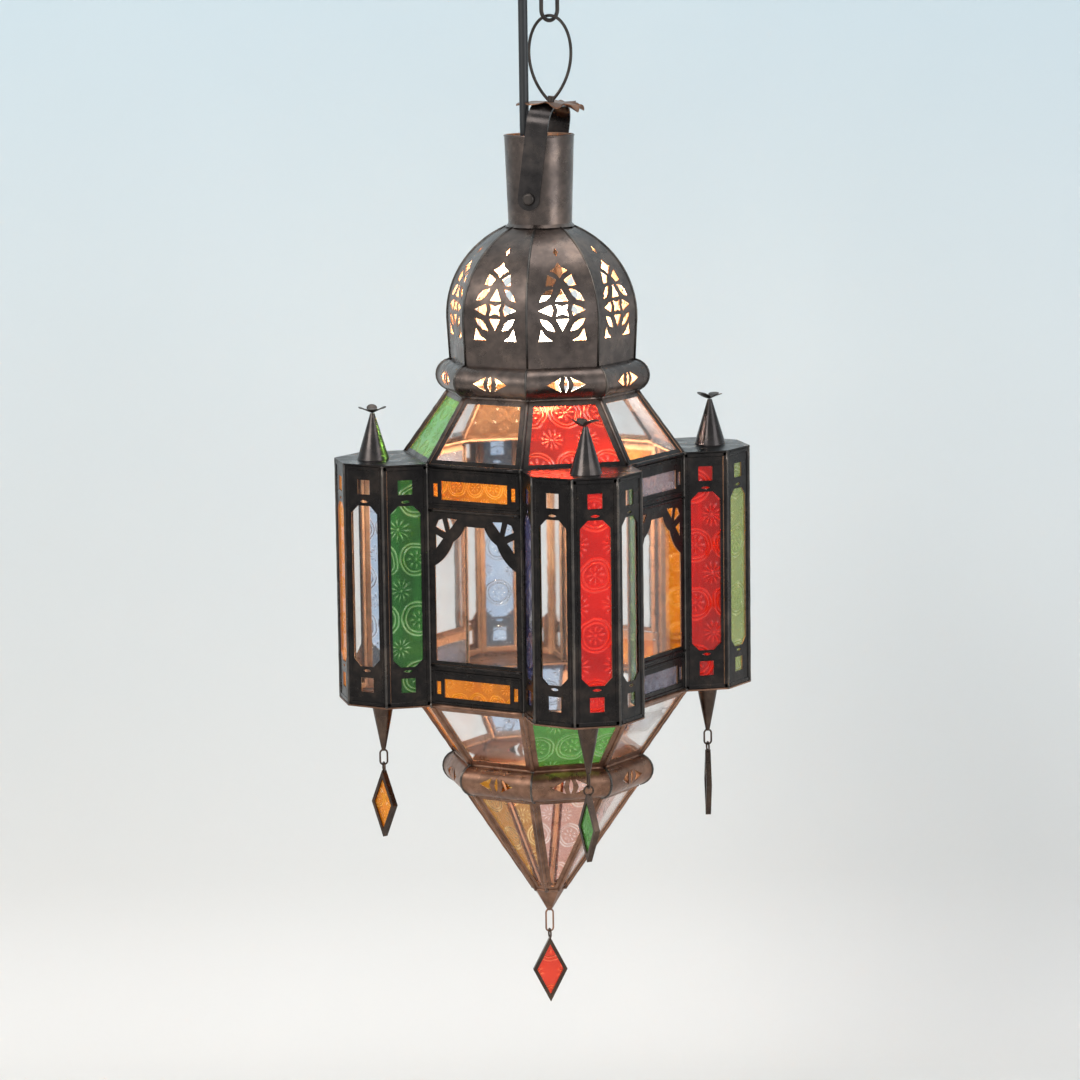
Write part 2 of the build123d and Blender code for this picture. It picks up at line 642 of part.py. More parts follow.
# Lampholder bracket: a strip across the foot of the neck, resting on the dome's mouth
HOLDER_TOP_Z = GRIP_TOP_Z - HOLDER_GRIP_HEIGHT
with BuildPart() as lampholder_bracket:
    with BuildSketch(Plane.XY.offset(HOLDER_TOP_Z)):
        Rectangle(2 * BRACKET_REACH, BRACKET_WIDTH)
        Circle(HOLDER_GRIP_RADIUS, mode=Mode.SUBTRACT)
    extrude(amount=BRACKET_SHEET)
    with BuildSketch(Plane.XY.offset(HOLDER_TOP_Z)):
        with Locations((BRACKET_REACH - BRACKET_SHEET / 2, 0), (BRACKET_SHEET / 2 - BRACKET_REACH, 0)):
            Rectangle(BRACKET_SHEET, BRACKET_WIDTH)
    extrude(amount=DOME_TOP_Z + BRACKET_RISE - HOLDER_TOP_Z)
write(lampholder_bracket.part, "lampholder_bracket")

# Lampholder: a stepped tube hung under the bracket, open below for the bulb
HOLDER_END_Z = HOLDER_TOP_Z - HOLDER_LENGTH
with BuildPart() as lampholder:
    with BuildSketch(Plane.XZ):
        with BuildLine():
            Polyline(
                (0, GRIP_TOP_Z),
                (HOLDER_GRIP_RADIUS, GRIP_TOP_Z),
                (HOLDER_GRIP_RADIUS, HOLDER_TOP_Z),
                (HOLDER_RADIUS, HOLDER_TOP_Z),
                (HOLDER_RADIUS, HOLDER_END_Z),
                (BULB_NECK_RADIUS, HOLDER_END_Z),
                (BULB_NECK_RADIUS, HOLDER_TOP_Z - HOLDER_SHOULDER),
                (0, HOLDER_TOP_Z - HOLDER_SHOULDER),
                close=True,
            )
        make_face()
    revolve(axis=Axis.Z)
write(lampholder.part, "lampholder")

# Bulb: a neck in the holder and a round envelope below it
BULB_TOP_Z = HOLDER_TOP_Z - HOLDER_SHOULDER
bulb_centre_z = HOLDER_END_Z - BULB_RADIUS
with BuildPart() as bulb:
    with BuildSketch(Plane.XY.offset(bulb_centre_z)):
        Circle(BULB_NECK_RADIUS)
    extrude(amount=BULB_TOP_Z - bulb_centre_z)
    with BuildSketch(Plane.XZ):
        with Locations((0, bulb_centre_z)):
            Circle(BULB_RADIUS)
            with Locations((-BULB_RADIUS, 0)):
                Rectangle(2 * BULB_RADIUS, 2 * BULB_RADIUS, mode=Mode.SUBTRACT)
    revolve(axis=Axis.Z)
write(bulb.part, "bulb")

# Dome gores: one bulging sheet for each side, pierced with an interlaced pattern
ALL_SIDES = tuple(range(SIDE_COUNT))
DOME_WAIST_Z = DOME_TOP_Z - DOME_WAIST_DROP
DOME_RISE = DOME_WAIST_DROP / sqrt(1 - (DOME_MOUTH / DOME_WAIST) ** 2)


def dome_arc(inset):
    """Mouth, shoulder and waist points of the dome's profile, inset from its outside."""
    wide = DOME_WAIST - inset
    tall = DOME_RISE - inset
    mouth = wide * sqrt(1 - (DOME_WAIST_DROP / tall) ** 2)
    middle = (radians(90.0) + asin(mouth / wide)) / 2
    shoulder = (wide * sin(middle), DOME_WAIST_Z + tall * cos(middle))
    return (mouth, DOME_TOP_Z), shoulder, (wide, DOME_WAIST_Z)


with BuildSketch() as dome_profile:
    with BuildLine():
        outer_arc = ThreePointArc(*dome_arc(0))
        inner_arc = ThreePointArc(*dome_arc(SHEET))
        Line(outer_arc @ 0, inner_arc @ 0)
        Polyline(
            outer_arc @ 1,
            (DOME_FOOT, COLLAR_TOP_Z),
            (DOME_FOOT - SHEET, COLLAR_TOP_Z),
            inner_arc @ 1,
        )
    make_face()


def pierced(middles, flanks, width, top, height):
    """A pierced pattern in shares of its half width and of its height below top, mirrored flanks."""
    mirrored = [[(-u, v) for u, v in outline] for outline in flanks]
    with BuildSketch() as pattern:
        for outline in [*middles, *flanks, *mirrored]:
            with BuildLine():
                Polyline(*[(u * width / 2, top - v * height) for u, v in outline], close=True)
            make_face()
    return pattern.sketch


with BuildPart() as dome_gore:
    add(octant(dome_profile.sketch, SEAM, (DOME_TOP_Z, COLLAR_TOP_Z)))
    with BuildSketch(Plane.YZ):
        add(pierced(DOME_MIDDLE_SHARES, DOME_FLANK_SHARES, DOME_PATTERN_WIDTH, DOME_TOP_Z, DOME_HEIGHT))
    extrude(amount=DOME_WAIST + OVERRUN, mode=Mode.SUBTRACT)
write(around(dome_gore.part, ALL_SIDES), "dome_gores")


def collar_segment(top, apothem, pattern_width):
    """One pierced half-round side of a collar, from top down by the collar's height."""
    middle = top - COLLAR_HEIGHT / 2
    with BuildSketch() as profile:
        with BuildLine():
            outside = ThreePointArc(
                (apothem, top),
                (apothem + COLLAR_BULGE, middle),
                (apothem, top - COLLAR_HEIGHT),
            )
            inside = ThreePointArc(
                (apothem - SHEET, top),
                (apothem - SHEET + COLLAR_BULGE, middle),
                (apothem - SHEET, top - COLLAR_HEIGHT),
            )
            Line(outside @ 0, inside @ 0)
            Line(outside @ 1, inside @ 1)
        make_face()
    with BuildPart() as piece:
        add(octant(profile.sketch, SEAM, (top, top - COLLAR_HEIGHT)))
        with BuildSketch(Plane.YZ):
            half_height = COLLAR_PATTERN_HEIGHT / 2
            add(pierced(COLLAR_MIDDLE_SHARES, COLLAR_FLANK_SHARES, pattern_width, middle, half_height))
        extrude(amount=apothem + COLLAR_BULGE + OVERRUN, mode=Mode.SUBTRACT)
    return piece.part


upper_segment = collar_segment(COLLAR_TOP_Z, COLLAR_APOTHEM, COLLAR_PATTERN_WIDTH)
lower_segment = collar_segment(LOWER_COLLAR_TOP_Z, COLLAR_APOTHEM, COLLAR_PATTERN_WIDTH)
write(around(upper_segment, ALL_SIDES), "upper_collar")
write(around(lower_segment, ALL_SIDES), "lower_collar")

# Glazed bands: roof above the body, funnel below it, and the cone under the lower collar
TIP_CAP_Z = TIP_Z + TIP_CAP_HEIGHT
cone_slope = CONE_TOP_APOTHEM / CONE_HEIGHT
roof_top = (ROOF_TOP_APOTHEM, COLLAR_FOOT_Z)
roof_foot = (BODY_APOTHEM, BODY_TOP_Z)
funnel_top = (BODY_APOTHEM, BODY_BOTTOM_Z)
funnel_foot = (ROOF_TOP_APOTHEM, LOWER_COLLAR_TOP_Z)
cone_top = (CONE_TOP_APOTHEM, LOWER_COLLAR_FOOT_Z)
cone_foot = (cone_slope * TIP_CAP_HEIGHT, TIP_CAP_Z)
write(around(glazed_frame(roof_top, roof_foot, CAME), ALL_SIDES), "roof_frames")
write(around(glazed_frame(funnel_top, funnel_foot, CAME), ALL_SIDES), "funnel_frames")
write(around(glazed_frame(cone_top, cone_foot, CONE_CAME), ALL_SIDES), "cone_frames")
roof_pane = glazed_pane(roof_top, roof_foot)
funnel_pane = glazed_pane(funnel_top, funnel_foot)
write(around(roof_pane, WINDOW_SIDES), "roof_panes_clear")
funnel_tinted = [side for sides in FUNNEL_SIDES.values() for side in sides]
funnel_clear = [side for side in ALL_SIDES if side not in funnel_tinted]
write(around(funnel_pane, funnel_clear), "funnel_panes_clear")
write(around(glazed_pane(cone_top, cone_foot), ALL_SIDES), "cone_panes")

# Body rims: flat bars between body and roof, and between body and funnel
WINDOW_TOP_Z = BODY_TOP_Z - RIM_SHEET
WINDOW_FOOT_Z = BODY_BOTTOM_Z + RIM_SHEET
rim_profile = band((BODY_APOTHEM, BODY_TOP_Z), (BODY_APOTHEM, BODY_BOTTOM_Z), 0, RIM_WIDTH)
rim_bars = [
    around(octant(rim_profile, SEAM, (WINDOW_TOP_Z, BODY_TOP_Z)), ALL_SIDES),
    around(octant(rim_profile, SEAM, (BODY_BOTTOM_Z, WINDOW_FOOT_Z)), ALL_SIDES),
]
write(joined(rim_bars), "body_rims")

# Bays: each a sheet bent round five faces, pierced on every face, with a pane behind each
BAY_OUTSIDE = BAY_CENTRE + BAY_APOTHEM
DROP_AT = (BODY_APOTHEM + BAY_OUTSIDE) / 2
FINIAL_AT = DROP_AT + FINIAL_OUT
BODY_MIDDLE_Z = (BODY_TOP_Z + BODY_BOTTOM_Z) / 2


def bay_plan(inset):
    """Plan of the +X bay, inset from its outside, back to the body's side."""
    with BuildSketch() as plan:
        with Locations((BAY_CENTRE, 0)):
            RegularPolygon(BAY_APOTHEM - inset, SIDE_COUNT, major_radius=False, rotation=STEP_TURN / 2)
        with Locations((BODY_APOTHEM - SIDE_WIDTH / 2, 0)):
            Rectangle(SIDE_WIDTH, 2 * SIDE_WIDTH, mode=Mode.SUBTRACT)
    return plan.sketch


def bay_face_plane(turn):
    """Outer plane of one bay face: local x along the face, local y up from the middle of the body."""
    outward = Vector(cos(radians(turn)), sin(radians(turn)), 0)
    origin = Vector(BAY_CENTRE, 0, BODY_MIDDLE_Z) + outward * BAY_APOTHEM
    return Plane(origin=origin, x_dir=(-outward.Y, outward.X, 0), z_dir=outward)


with BuildSketch() as bay_pattern:
    slot = Rectangle(BAY_FACE - 2 * BAY_SLOT_MARGIN, BODY_HEIGHT - 2 * BAY_SLOT_TOP)
    chamfer(slot.vertices(), BAY_SLOT_CHAMFER)
    with Locations((0, BODY_HEIGHT / 2 - BAY_SQUARE_MIDDLE), (0, BAY_SQUARE_MIDDLE - BODY_HEIGHT / 2)):
        Rectangle(BAY_SQUARE, BAY_SQUARE)
    with Locations((0, BODY_HEIGHT / 2 - BAY_LENS_MIDDLE), (0, BAY_LENS_MIDDLE - BODY_HEIGHT / 2)):
        add(lens(BAY_LENS_LENGTH, BAY_LENS_HEIGHT))

with BuildPart() as bay_shell:
    with BuildSketch(Plane.XY.offset(BODY_BOTTOM_Z)):
        add(bay_plan(0))
        add(bay_plan(SHEET), mode=Mode.SUBTRACT)
    extrude(amount=BODY_HEIGHT)
    for face_turn in BAY_FACE_TURNS:
        with BuildSketch(bay_face_plane(face_turn)):
            add(bay_pattern.sketch)
        extrude(amount=-(SHEET + CLEARANCE), mode=Mode.SUBTRACT)

with BuildPart() as bay_top_plate:
    with BuildSketch(Plane.XY.offset(BODY_TOP_Z)):
        add(bay_plan(-PLATE_LIP))
    extrude(amount=PLATE_SHEET)
with BuildPart() as bay_bottom_plate:
    with BuildSketch(Plane.XY.offset(BODY_BOTTOM_Z - PLATE_SHEET)):
        add(bay_plan(-PLATE_LIP))
    extrude(amount=PLATE_SHEET)


def hollow_cone(middle, base_z, tip_z, base_radius, tip_radius):
    """A sheet cone at a distance from the lantern's axis, open at its base and closed at its tip."""
    rise = FINIAL_SHEET if tip_z > base_z else -FINIAL_SHEET
    with BuildPart() as cone:
        with BuildSketch(Plane.XZ):
            with BuildLine():
                Polyline(
                    (middle + base_radius, base_z),
                    (middle + tip_radius, tip_z),
                    (middle, tip_z),
                    (middle, tip_z - rise),
                    (middle + tip_radius, tip_z - rise - rise),
                    (middle + base_radius - FINIAL_SHEET, base_z),
                    close=True,
                )
            make_face()
        revolve(axis=Axis((middle, 0, 0), (0, 0, 1)))
    return cone.part


FINIAL_FOOT_Z = BODY_TOP_Z + PLATE_SHEET
FINIAL_TIP_Z = FINIAL_FOOT_Z + FINIAL_HEIGHT
finial_cone = hollow_cone(FINIAL_AT, FINIAL_FOOT_Z, FINIAL_TIP_Z, FINIAL_RADIUS, FINIAL_TIP_RADIUS)
with BuildPart() as finial_flower:
    with BuildSketch(Plane.XY.offset(FINIAL_TIP_Z)):
        with Locations((FINIAL_AT, 0)):
            Circle(FLOWER_RADIUS)
    extrude(amount=FLOWER_SHEET)
    for petal in range(FLOWER_PETALS):
        bearing = radians((petal + 1 / 2) * 360.0 / FLOWER_PETALS)
        outward = Vector(cos(bearing), sin(bearing), 0)
        rising = outward * cos(radians(FLOWER_LIFT)) + Vector(0, 0, sin(radians(FLOWER_LIFT)))
        sideways = Vector(-outward.Y, outward.X, 0)
        petal_plane = Plane(
            origin=Vector(FINIAL_AT, 0, FINIAL_TIP_Z) + outward * FLOWER_RADIUS / 2,
            x_dir=rising,
            z_dir=rising.cross(sideways),
        )
        with BuildSketch(petal_plane):
            with Locations((FLOWER_PETAL_LENGTH, 0)):
                Ellipse(FLOWER_PETAL_LENGTH, FLOWER_PETAL_HALF_WIDTH)
        extrude(amount=FLOWER_SHEET)

# Drop cones below the bays, each with a long wire eye at its tip
DROP_TOP_Z = BODY_BOTTOM_Z - PLATE_SHEET
DROP_TIP_Z = DROP_TOP_Z - DROP_HEIGHT
EYE_MIDDLE = EYE_LENGTH / 2 - EYE_SINK
TIP_EYE_MIDDLE = TIP_EYE_LENGTH / 2 - EYE_SINK
drop_eye_plane = Plane(origin=(DROP_AT, 0, DROP_TIP_Z - EYE_MIDDLE), x_dir=(1, 0, 0), z_dir=(0, -1, 0))
with BuildPart() as drop_cone:
    add(hollow_cone(DROP_AT, DROP_TOP_Z, DROP_TIP_Z, DROP_RADIUS, DROP_TIP_RADIUS))
    add(wire_link(drop_eye_plane, EYE_WIDTH, EYE_LENGTH, WIRE))

for bay, side in BAY_SIDES.items():
    write(around(bay_shell.part, [side]), f"bay_shell_{bay}")
write(around(bay_top_plate.part, BAY_SIDES.values()), "bay_top_plates")
write(around(bay_bottom_plate.part, BAY_SIDES.values()), "bay_bottom_plates")
write(around(finial_cone, BAY_SIDES.values()), "finial_cones")
write(around(finial_flower.part, BAY_SIDES.values()), "finial_flowers")
write(around(drop_cone.part, BAY_SIDES.values()), "drop_cones")

# Tip cap: an eight-sided sheet cone under the glass, with an eye for its pendant
with BuildPart() as tip_cap:
    with BuildSketch(Plane.XY.offset(TIP_CAP_Z)):
        RegularPolygon(cone_foot[0], SIDE_COUNT, major_radius=False, rotation=STEP_TURN / 2)
    with BuildSketch(Plane.XY.offset(TIP_Z)):
        RegularPolygon(DROP_TIP_RADIUS, SIDE_COUNT, major_radius=False, rotation=STEP_TURN / 2)
    loft()
    tip_eye_plane = Plane(origin=(0, 0, TIP_Z - TIP_EYE_MIDDLE), x_dir=(1, 0, 0), z_dir=(0, -1, 0))
    add(wire_link(tip_eye_plane, EYE_WIDTH, TIP_EYE_LENGTH, WIRE))
write(tip_cap.part, "tip_cap")

# Window sides: a strip above and below, and an arched sheet between them
window_plane = Plane(origin=(BODY_APOTHEM, 0, BODY_TOP_Z), x_dir=(0, 1, 0), z_dir=(1, 0, 0))
DOOR_FOOT = BODY_HEIGHT - DOOR_RISE
ARCH_BOTTOM = DOOR_FOOT - ARCH_SILL
SLOT_WIDTH = SIDE_WIDTH - 2 * SLOT_MARGIN
window_profile = band((BODY_APOTHEM, BODY_TOP_Z), (BODY_APOTHEM, BODY_BOTTOM_Z), 0, SHEET)


def strip(edge, foot, slot_middle):
    """One strip of a window side between two depths below the top, with a long slot and two end slots."""
    end_at = SLOT_WIDTH / 2 + END_SLOT_GAP + END_SLOT_WIDTH / 2
    with BuildPart() as piece:
        add(octant(window_profile, SEAM, (BODY_TOP_Z - edge, BODY_TOP_Z - foot)))
        with BuildSketch(window_plane):
            with Locations((0, -slot_middle)):
                Rectangle(SLOT_WIDTH, SLOT_HEIGHT)
            with Locations((end_at, -slot_middle), (-end_at, -slot_middle)):
                Rectangle(END_SLOT_WIDTH, END_SLOT_HEIGHT)
        extrude(amount=OVERRUN, both=True, mode=Mode.SUBTRACT)
    return piece.part


UPPER_SLOT = SLOT_TOP + SLOT_HEIGHT / 2
LOWER_SLOT = BODY_HEIGHT - LOWER_SLOT_RISE - SLOT_HEIGHT / 2
upper_strip = strip(RIM_SHEET, DOOR_TOP - DOOR_GAP, UPPER_SLOT)
lower_strip = strip(DOOR_FOOT + DOOR_GAP, BODY_HEIGHT - RIM_SHEET, LOWER_SLOT)

# Arch: two hollow steps on each side up to a flat top, with a fan of three holes in each shoulder
ARCH_HALF = SIDE_WIDTH / 2 - WINDOW_STILE - RIM_SHEET
arch_cusp = (ARCH_HALF * ARCH_CUSP_SHARE, -ARCH_CUSP)
arch_apex = (ARCH_HALF * ARCH_APEX_SHARE, -ARCH_APEX)
left_cusp = (-arch_cusp[0], arch_cusp[1])
left_apex = (-arch_apex[0], arch_apex[1])


def hollow_step(outer, inner):
    """Middle point of an arc between two arch points that bows into the opening."""
    middle = Vector((outer[0] + inner[0]) / 2, (outer[1] + inner[1]) / 2)
    chord = Vector(inner[0] - outer[0], inner[1] - outer[1])
    return middle + Vector(-chord.Y, chord.X) * ARCH_SAG_SHARE


with BuildSketch() as arch_opening:
    with BuildLine():
        low_step = hollow_step((ARCH_HALF, -ARCH_SPRING), arch_cusp)
        high_step = hollow_step(arch_cusp, arch_apex)
        ThreePointArc((ARCH_HALF, -ARCH_SPRING), low_step, arch_cusp)
        ThreePointArc(arch_cusp, high_step, arch_apex)
        Line(arch_apex, left_apex)
        ThreePointArc(left_apex, (-high_step.X, high_step.Y), left_cusp)
        ThreePointArc(left_cusp, (-low_step.X, low_step.Y), (-ARCH_HALF, -ARCH_SPRING))
        Polyline(
            (-ARCH_HALF, -ARCH_SPRING),
            (-ARCH_HALF, -ARCH_BOTTOM),
            (ARCH_HALF, -ARCH_BOTTOM),
            (ARCH_HALF, -ARCH_SPRING),
        )
    make_face()
fan_top = DOOR_TOP + FAN_MARGIN
fan_height = ARCH_SPRING - fan_top
with BuildSketch() as arch_pattern:
    add(arch_opening.sketch)
    add(pierced((), FAN_SHARES, 2 * ARCH_HALF, -fan_top, fan_height))

with BuildPart() as window_panel:
    add(octant(window_profile, SEAM, (BODY_TOP_Z - DOOR_TOP, BODY_TOP_Z - DOOR_FOOT)))
    with BuildSketch(window_plane):
        add(arch_pattern.sketch)
    extrude(amount=OVERRUN, both=True, mode=Mode.SUBTRACT)

DOOR_SIDE = 1
FIXED_SIDES = tuple(side for side in WINDOW_SIDES if side != DOOR_SIDE)
fixed_strips = [around(upper_strip, FIXED_SIDES), around(lower_strip, FIXED_SIDES)]
write(joined(fixed_strips), "window_strips")
write(around(window_panel.part, FIXED_SIDES), "window_panels")


def flat_pane(width, edge, foot):
    """A pane behind a window side, between two depths below the body's top."""
    with BuildPart() as pane:
        with BuildSketch(window_plane.offset(-SHEET)):
            with Locations((0, -(edge + foot) / 2)):
                Rectangle(width, foot - edge)
        extrude(amount=-GLASS)
    return pane.part


window_pane = flat_pane(2 * ARCH_HALF + PANE_LAP, DOOR_TOP + PANE_LAP, DOOR_FOOT - PANE_LAP)
strip_pane_width = SLOT_WIDTH + 2 * (END_SLOT_GAP + END_SLOT_WIDTH + PANE_LAP / 2)
strip_pane_half = SLOT_HEIGHT / 2 + PANE_LAP
strip_panes = joined(
    [
        flat_pane(strip_pane_width, UPPER_SLOT - strip_pane_half, UPPER_SLOT + strip_pane_half),
        flat_pane(strip_pane_width, LOWER_SLOT - strip_pane_half, LOWER_SLOT + strip_pane_half),
    ]
)
write(around(window_pane, FIXED_SIDES), "window_panes")

# Door: the arched sheet of one back side, on a barrel hinge with a pin at each end
HINGE_AT = HINGE_INSET - SIDE_WIDTH / 2
hinge_point = Vector(BODY_APOTHEM - SHEET / 2, HINGE_AT, 0)
DOOR_TOP_Z = BODY_TOP_Z - DOOR_TOP
DOOR_FOOT_Z = BODY_TOP_Z - DOOR_FOOT


def barrel(part, low, high, bore):
    """A part with a tube on the hinge line between two levels, bored for the pins."""
    with BuildPart() as piece:
        add(part)
        with BuildSketch(Plane.XY.offset(low)):
            with Locations(hinge_point):
                Circle(BARREL_RADIUS)
        extrude(amount=high - low)
        with BuildSketch(Plane.XY.offset(low - OVERRUN)):
            with Locations(hinge_point):
                Circle(bore)
        extrude(amount=high - low + 2 * OVERRUN, mode=Mode.SUBTRACT)
    return piece.part


with BuildPart() as door_leaf:
    add(window_panel.part)
    with BuildSketch(window_plane):
        with Locations((HINGE_AT - SIDE_WIDTH / 2, -BODY_HEIGHT / 2)):
            Rectangle(SIDE_WIDTH, BODY_HEIGHT)
        with Locations((SIDE_WIDTH / 2, -BODY_HEIGHT / 2)):
            Rectangle(2 * DOOR_GAP, BODY_HEIGHT)
    extrude(amount=OVERRUN, both=True, mode=Mode.SUBTRACT)
door_panel = barrel(door_leaf.part, DOOR_FOOT_Z, DOOR_TOP_Z, PIN_RADIUS + PIN_FIT)
STRIP_FOOT_Z = DOOR_TOP_Z + DOOR_GAP
STRIP_EDGE_Z = DOOR_FOOT_Z - DOOR_GAP
door_strips = [
    barrel(upper_strip, STRIP_FOOT_Z, STRIP_FOOT_Z + LUG_HEIGHT, PIN_RADIUS),
    barrel(lower_strip, STRIP_EDGE_Z - LUG_HEIGHT, STRIP_EDGE_Z, PIN_RADIUS),
]
with BuildPart() as door_pin:
    with BuildSketch(Plane.XY.offset(STRIP_FOOT_Z + LUG_HEIGHT - PIN_LENGTH)):
        with Locations(hinge_point):
            Circle(PIN_RADIUS)
    extrude(amount=PIN_LENGTH)
    with BuildSketch(Plane.XY.offset(STRIP_EDGE_Z - LUG_HEIGHT)):
        with Locations(hinge_point):
            Circle(PIN_RADIUS)
    extrude(amount=PIN_LENGTH)
with BuildPart() as door_knob:
    with BuildSketch(window_plane):
        with Locations((-HINGE_AT - KNOB_INSET, -(DOOR_TOP + DOOR_FOOT) / 2)):
            Circle(KNOB_STEM_RADIUS)
    extrude(amount=KNOB_REACH)
    with BuildSketch(window_plane.offset(KNOB_REACH - KNOB_RADIUS)):
        with Locations((-HINGE_AT - KNOB_INSET, -(DOOR_TOP + DOOR_FOOT) / 2)):
            Circle(KNOB_RADIUS)
    extrude(amount=KNOB_RADIUS)
    fillet(door_knob.faces().sort_by(Axis.X)[-1].edges(), KNOB_STEM_RADIUS)
write(around(joined(door_strips), [DOOR_SIDE]), "door_strips")
write(around(door_panel, [DOOR_SIDE]), "door_panel")
door_pane = flat_pane(-2 * (HINGE_AT + BARREL_RADIUS + DOOR_GAP), DOOR_TOP + PANE_LAP, DOOR_FOOT - PANE_LAP)
write(around(door_pane, [DOOR_SIDE]), "door_pane")
write(around(door_pin.part, [DOOR_SIDE]), "door_pins")
write(around(door_knob.part, [DOOR_SIDE]), "door_knob")

# Coloured glass: all panes of one colour are one node
bay_pane_width = BAY_FACE - 2 * (SHEET + GLASS) * tan(HALF_TURN) - PANE_INSET / 2


def bay_pane(face_turn):
    """The pane behind one face of the +X bay."""
    with BuildPart() as pane:
        with BuildSketch(bay_face_plane(face_turn).offset(-SHEET)):
            Rectangle(bay_pane_width, BODY_HEIGHT - 2 * PANE_INSET)
        extrude(amount=-GLASS)
    return pane.part


bay_panes = [bay_pane(face_turn) for face_turn in BAY_FACE_TURNS]
for colour in ("red", "green", "amber", "blue", "grey", "clear"):
    panes = [
        around(bay_panes[face], [BAY_SIDES[bay]])
        for bay, colours in BAY_COLOURS.items()
        for face in range(len(colours))
        if colours[face] == colour
    ]
    if colour in ROOF_SIDES:
        panes.append(around(roof_pane, ROOF_SIDES[colour]))
    if colour in FUNNEL_SIDES:
        panes.append(around(funnel_pane, FUNNEL_SIDES[colour]))
    if colour in STRIP_SIDES:
        panes.append(around(strip_panes, STRIP_SIDES[colour]))
    write(joined(panes), "bay_panes_clear" if colour == "clear" else f"{colour}_panes")

# Pendants: a wire loop through an eye, and a glazed rhombus under it, turned as each one hangs
EYE_FALL = EYE_MIDDLE + EYE_LENGTH / 2 - WIRE
TIP_EYE_FALL = TIP_EYE_MIDDLE + TIP_EYE_LENGTH / 2 - WIRE
LOOP_FALL = LOOP_RADIUS - 2 * WIRE - LOOP_PLAY
RHOMBUS_FALL = LOOP_FALL + LOOP_RADIUS - PENDANT_SINK
pendant_depth = PENDANT_WIDTH * cos(atan2(PENDANT_WIDTH, PENDANT_HEIGHT)) / 2
pane_share = 1 - (PENDANT_BORDER - PENDANT_PANE_LAP) / pendant_depth
light_share = 1 - PENDANT_BORDER / pendant_depth


def rhombus(share):
    """The pendant's outline, or a share of it, around its own middle."""
    half_width = PENDANT_WIDTH * share / 2
    half_height = PENDANT_HEIGHT * share / 2
    with BuildSketch() as outline:
        with BuildLine():
            Polyline((half_width, 0), (0, half_height), (-half_width, 0), (0, -half_height), close=True)
        make_face()
    return outline.sketch


def pendant(pivot, twist):
    """Frame and pane of a pendant hung in an eye at pivot, its flat side turned by twist about Z."""
    angle = radians(twist)
    middle = pivot - Vector(0, 0, RHOMBUS_FALL + PENDANT_HEIGHT / 2)
    plane = Plane(origin=middle, x_dir=(cos(angle), sin(angle), 0), z_dir=(sin(angle), -cos(angle), 0))
    with BuildPart() as pane:
        with BuildSketch(plane):
            add(rhombus(pane_share))
        extrude(amount=PENDANT_PANE / 2, both=True)
    with BuildPart() as frame:
        with BuildSketch(plane):
            add(rhombus(1))
            add(rhombus(light_share), mode=Mode.SUBTRACT)
        extrude(amount=PENDANT_THICKNESS / 2, both=True)
        add(pane.part, mode=Mode.SUBTRACT)
        loop_centre = pivot - Vector(0, 0, LOOP_FALL)
        with BuildSketch(Plane(origin=loop_centre, x_dir=(0, 1, 0), z_dir=(0, 0, 1))):
            with Locations((LOOP_RADIUS, 0)):
                Circle(WIRE)
        revolve(axis=Axis(loop_centre, (1, 0, 0)))
    return frame.part, pane.part


bay_pivot = Vector(DROP_AT, 0, DROP_TIP_Z - EYE_FALL)
for bay, side in BAY_SIDES.items():
    frame, pane = pendant(bay_pivot, PENDANT_TWISTS[bay])
    write(around(frame, [side]), f"pendant_frame_{bay}")
    write(around(pane, [side]), f"pendant_pane_{bay}")
tip_frame, tip_pane = pendant(Vector(0, 0, TIP_Z - TIP_EYE_FALL), TIP_PENDANT_TWIST)
write(tip_frame, "pendant_frame_tip")
write(tip_pane, "pendant_pane_tip")
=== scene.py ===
"""Looks of a hanging fanous lantern: aged sheet metal, pressed glass and a lit bulb, over the CAD frame."""

import json
from math import asin, atan2, cos, pi, radians, sin, sqrt, tan

import bmesh
import bpy
from mathutils import Matrix, Vector


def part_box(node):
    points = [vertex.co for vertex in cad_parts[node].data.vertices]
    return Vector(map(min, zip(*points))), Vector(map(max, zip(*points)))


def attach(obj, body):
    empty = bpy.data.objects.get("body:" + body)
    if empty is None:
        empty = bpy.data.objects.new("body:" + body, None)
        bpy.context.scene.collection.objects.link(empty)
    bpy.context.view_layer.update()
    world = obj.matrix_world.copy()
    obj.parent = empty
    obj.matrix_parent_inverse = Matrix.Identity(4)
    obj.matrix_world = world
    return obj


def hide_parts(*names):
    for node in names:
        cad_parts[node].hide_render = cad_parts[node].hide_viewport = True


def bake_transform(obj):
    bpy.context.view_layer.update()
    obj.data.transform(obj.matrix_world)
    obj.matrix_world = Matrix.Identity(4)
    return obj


MM = 0.001
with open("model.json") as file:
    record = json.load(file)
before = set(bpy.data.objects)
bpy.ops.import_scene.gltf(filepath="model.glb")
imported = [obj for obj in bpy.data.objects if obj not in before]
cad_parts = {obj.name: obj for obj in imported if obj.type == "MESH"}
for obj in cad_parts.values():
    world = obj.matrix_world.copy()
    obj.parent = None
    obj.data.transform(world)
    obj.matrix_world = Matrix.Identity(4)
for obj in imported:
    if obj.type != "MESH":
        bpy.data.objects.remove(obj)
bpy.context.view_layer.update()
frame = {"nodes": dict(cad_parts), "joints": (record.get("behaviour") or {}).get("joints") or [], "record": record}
nodes = frame["nodes"]
joints = {joint["name"]: joint for joint in frame["joints"]}

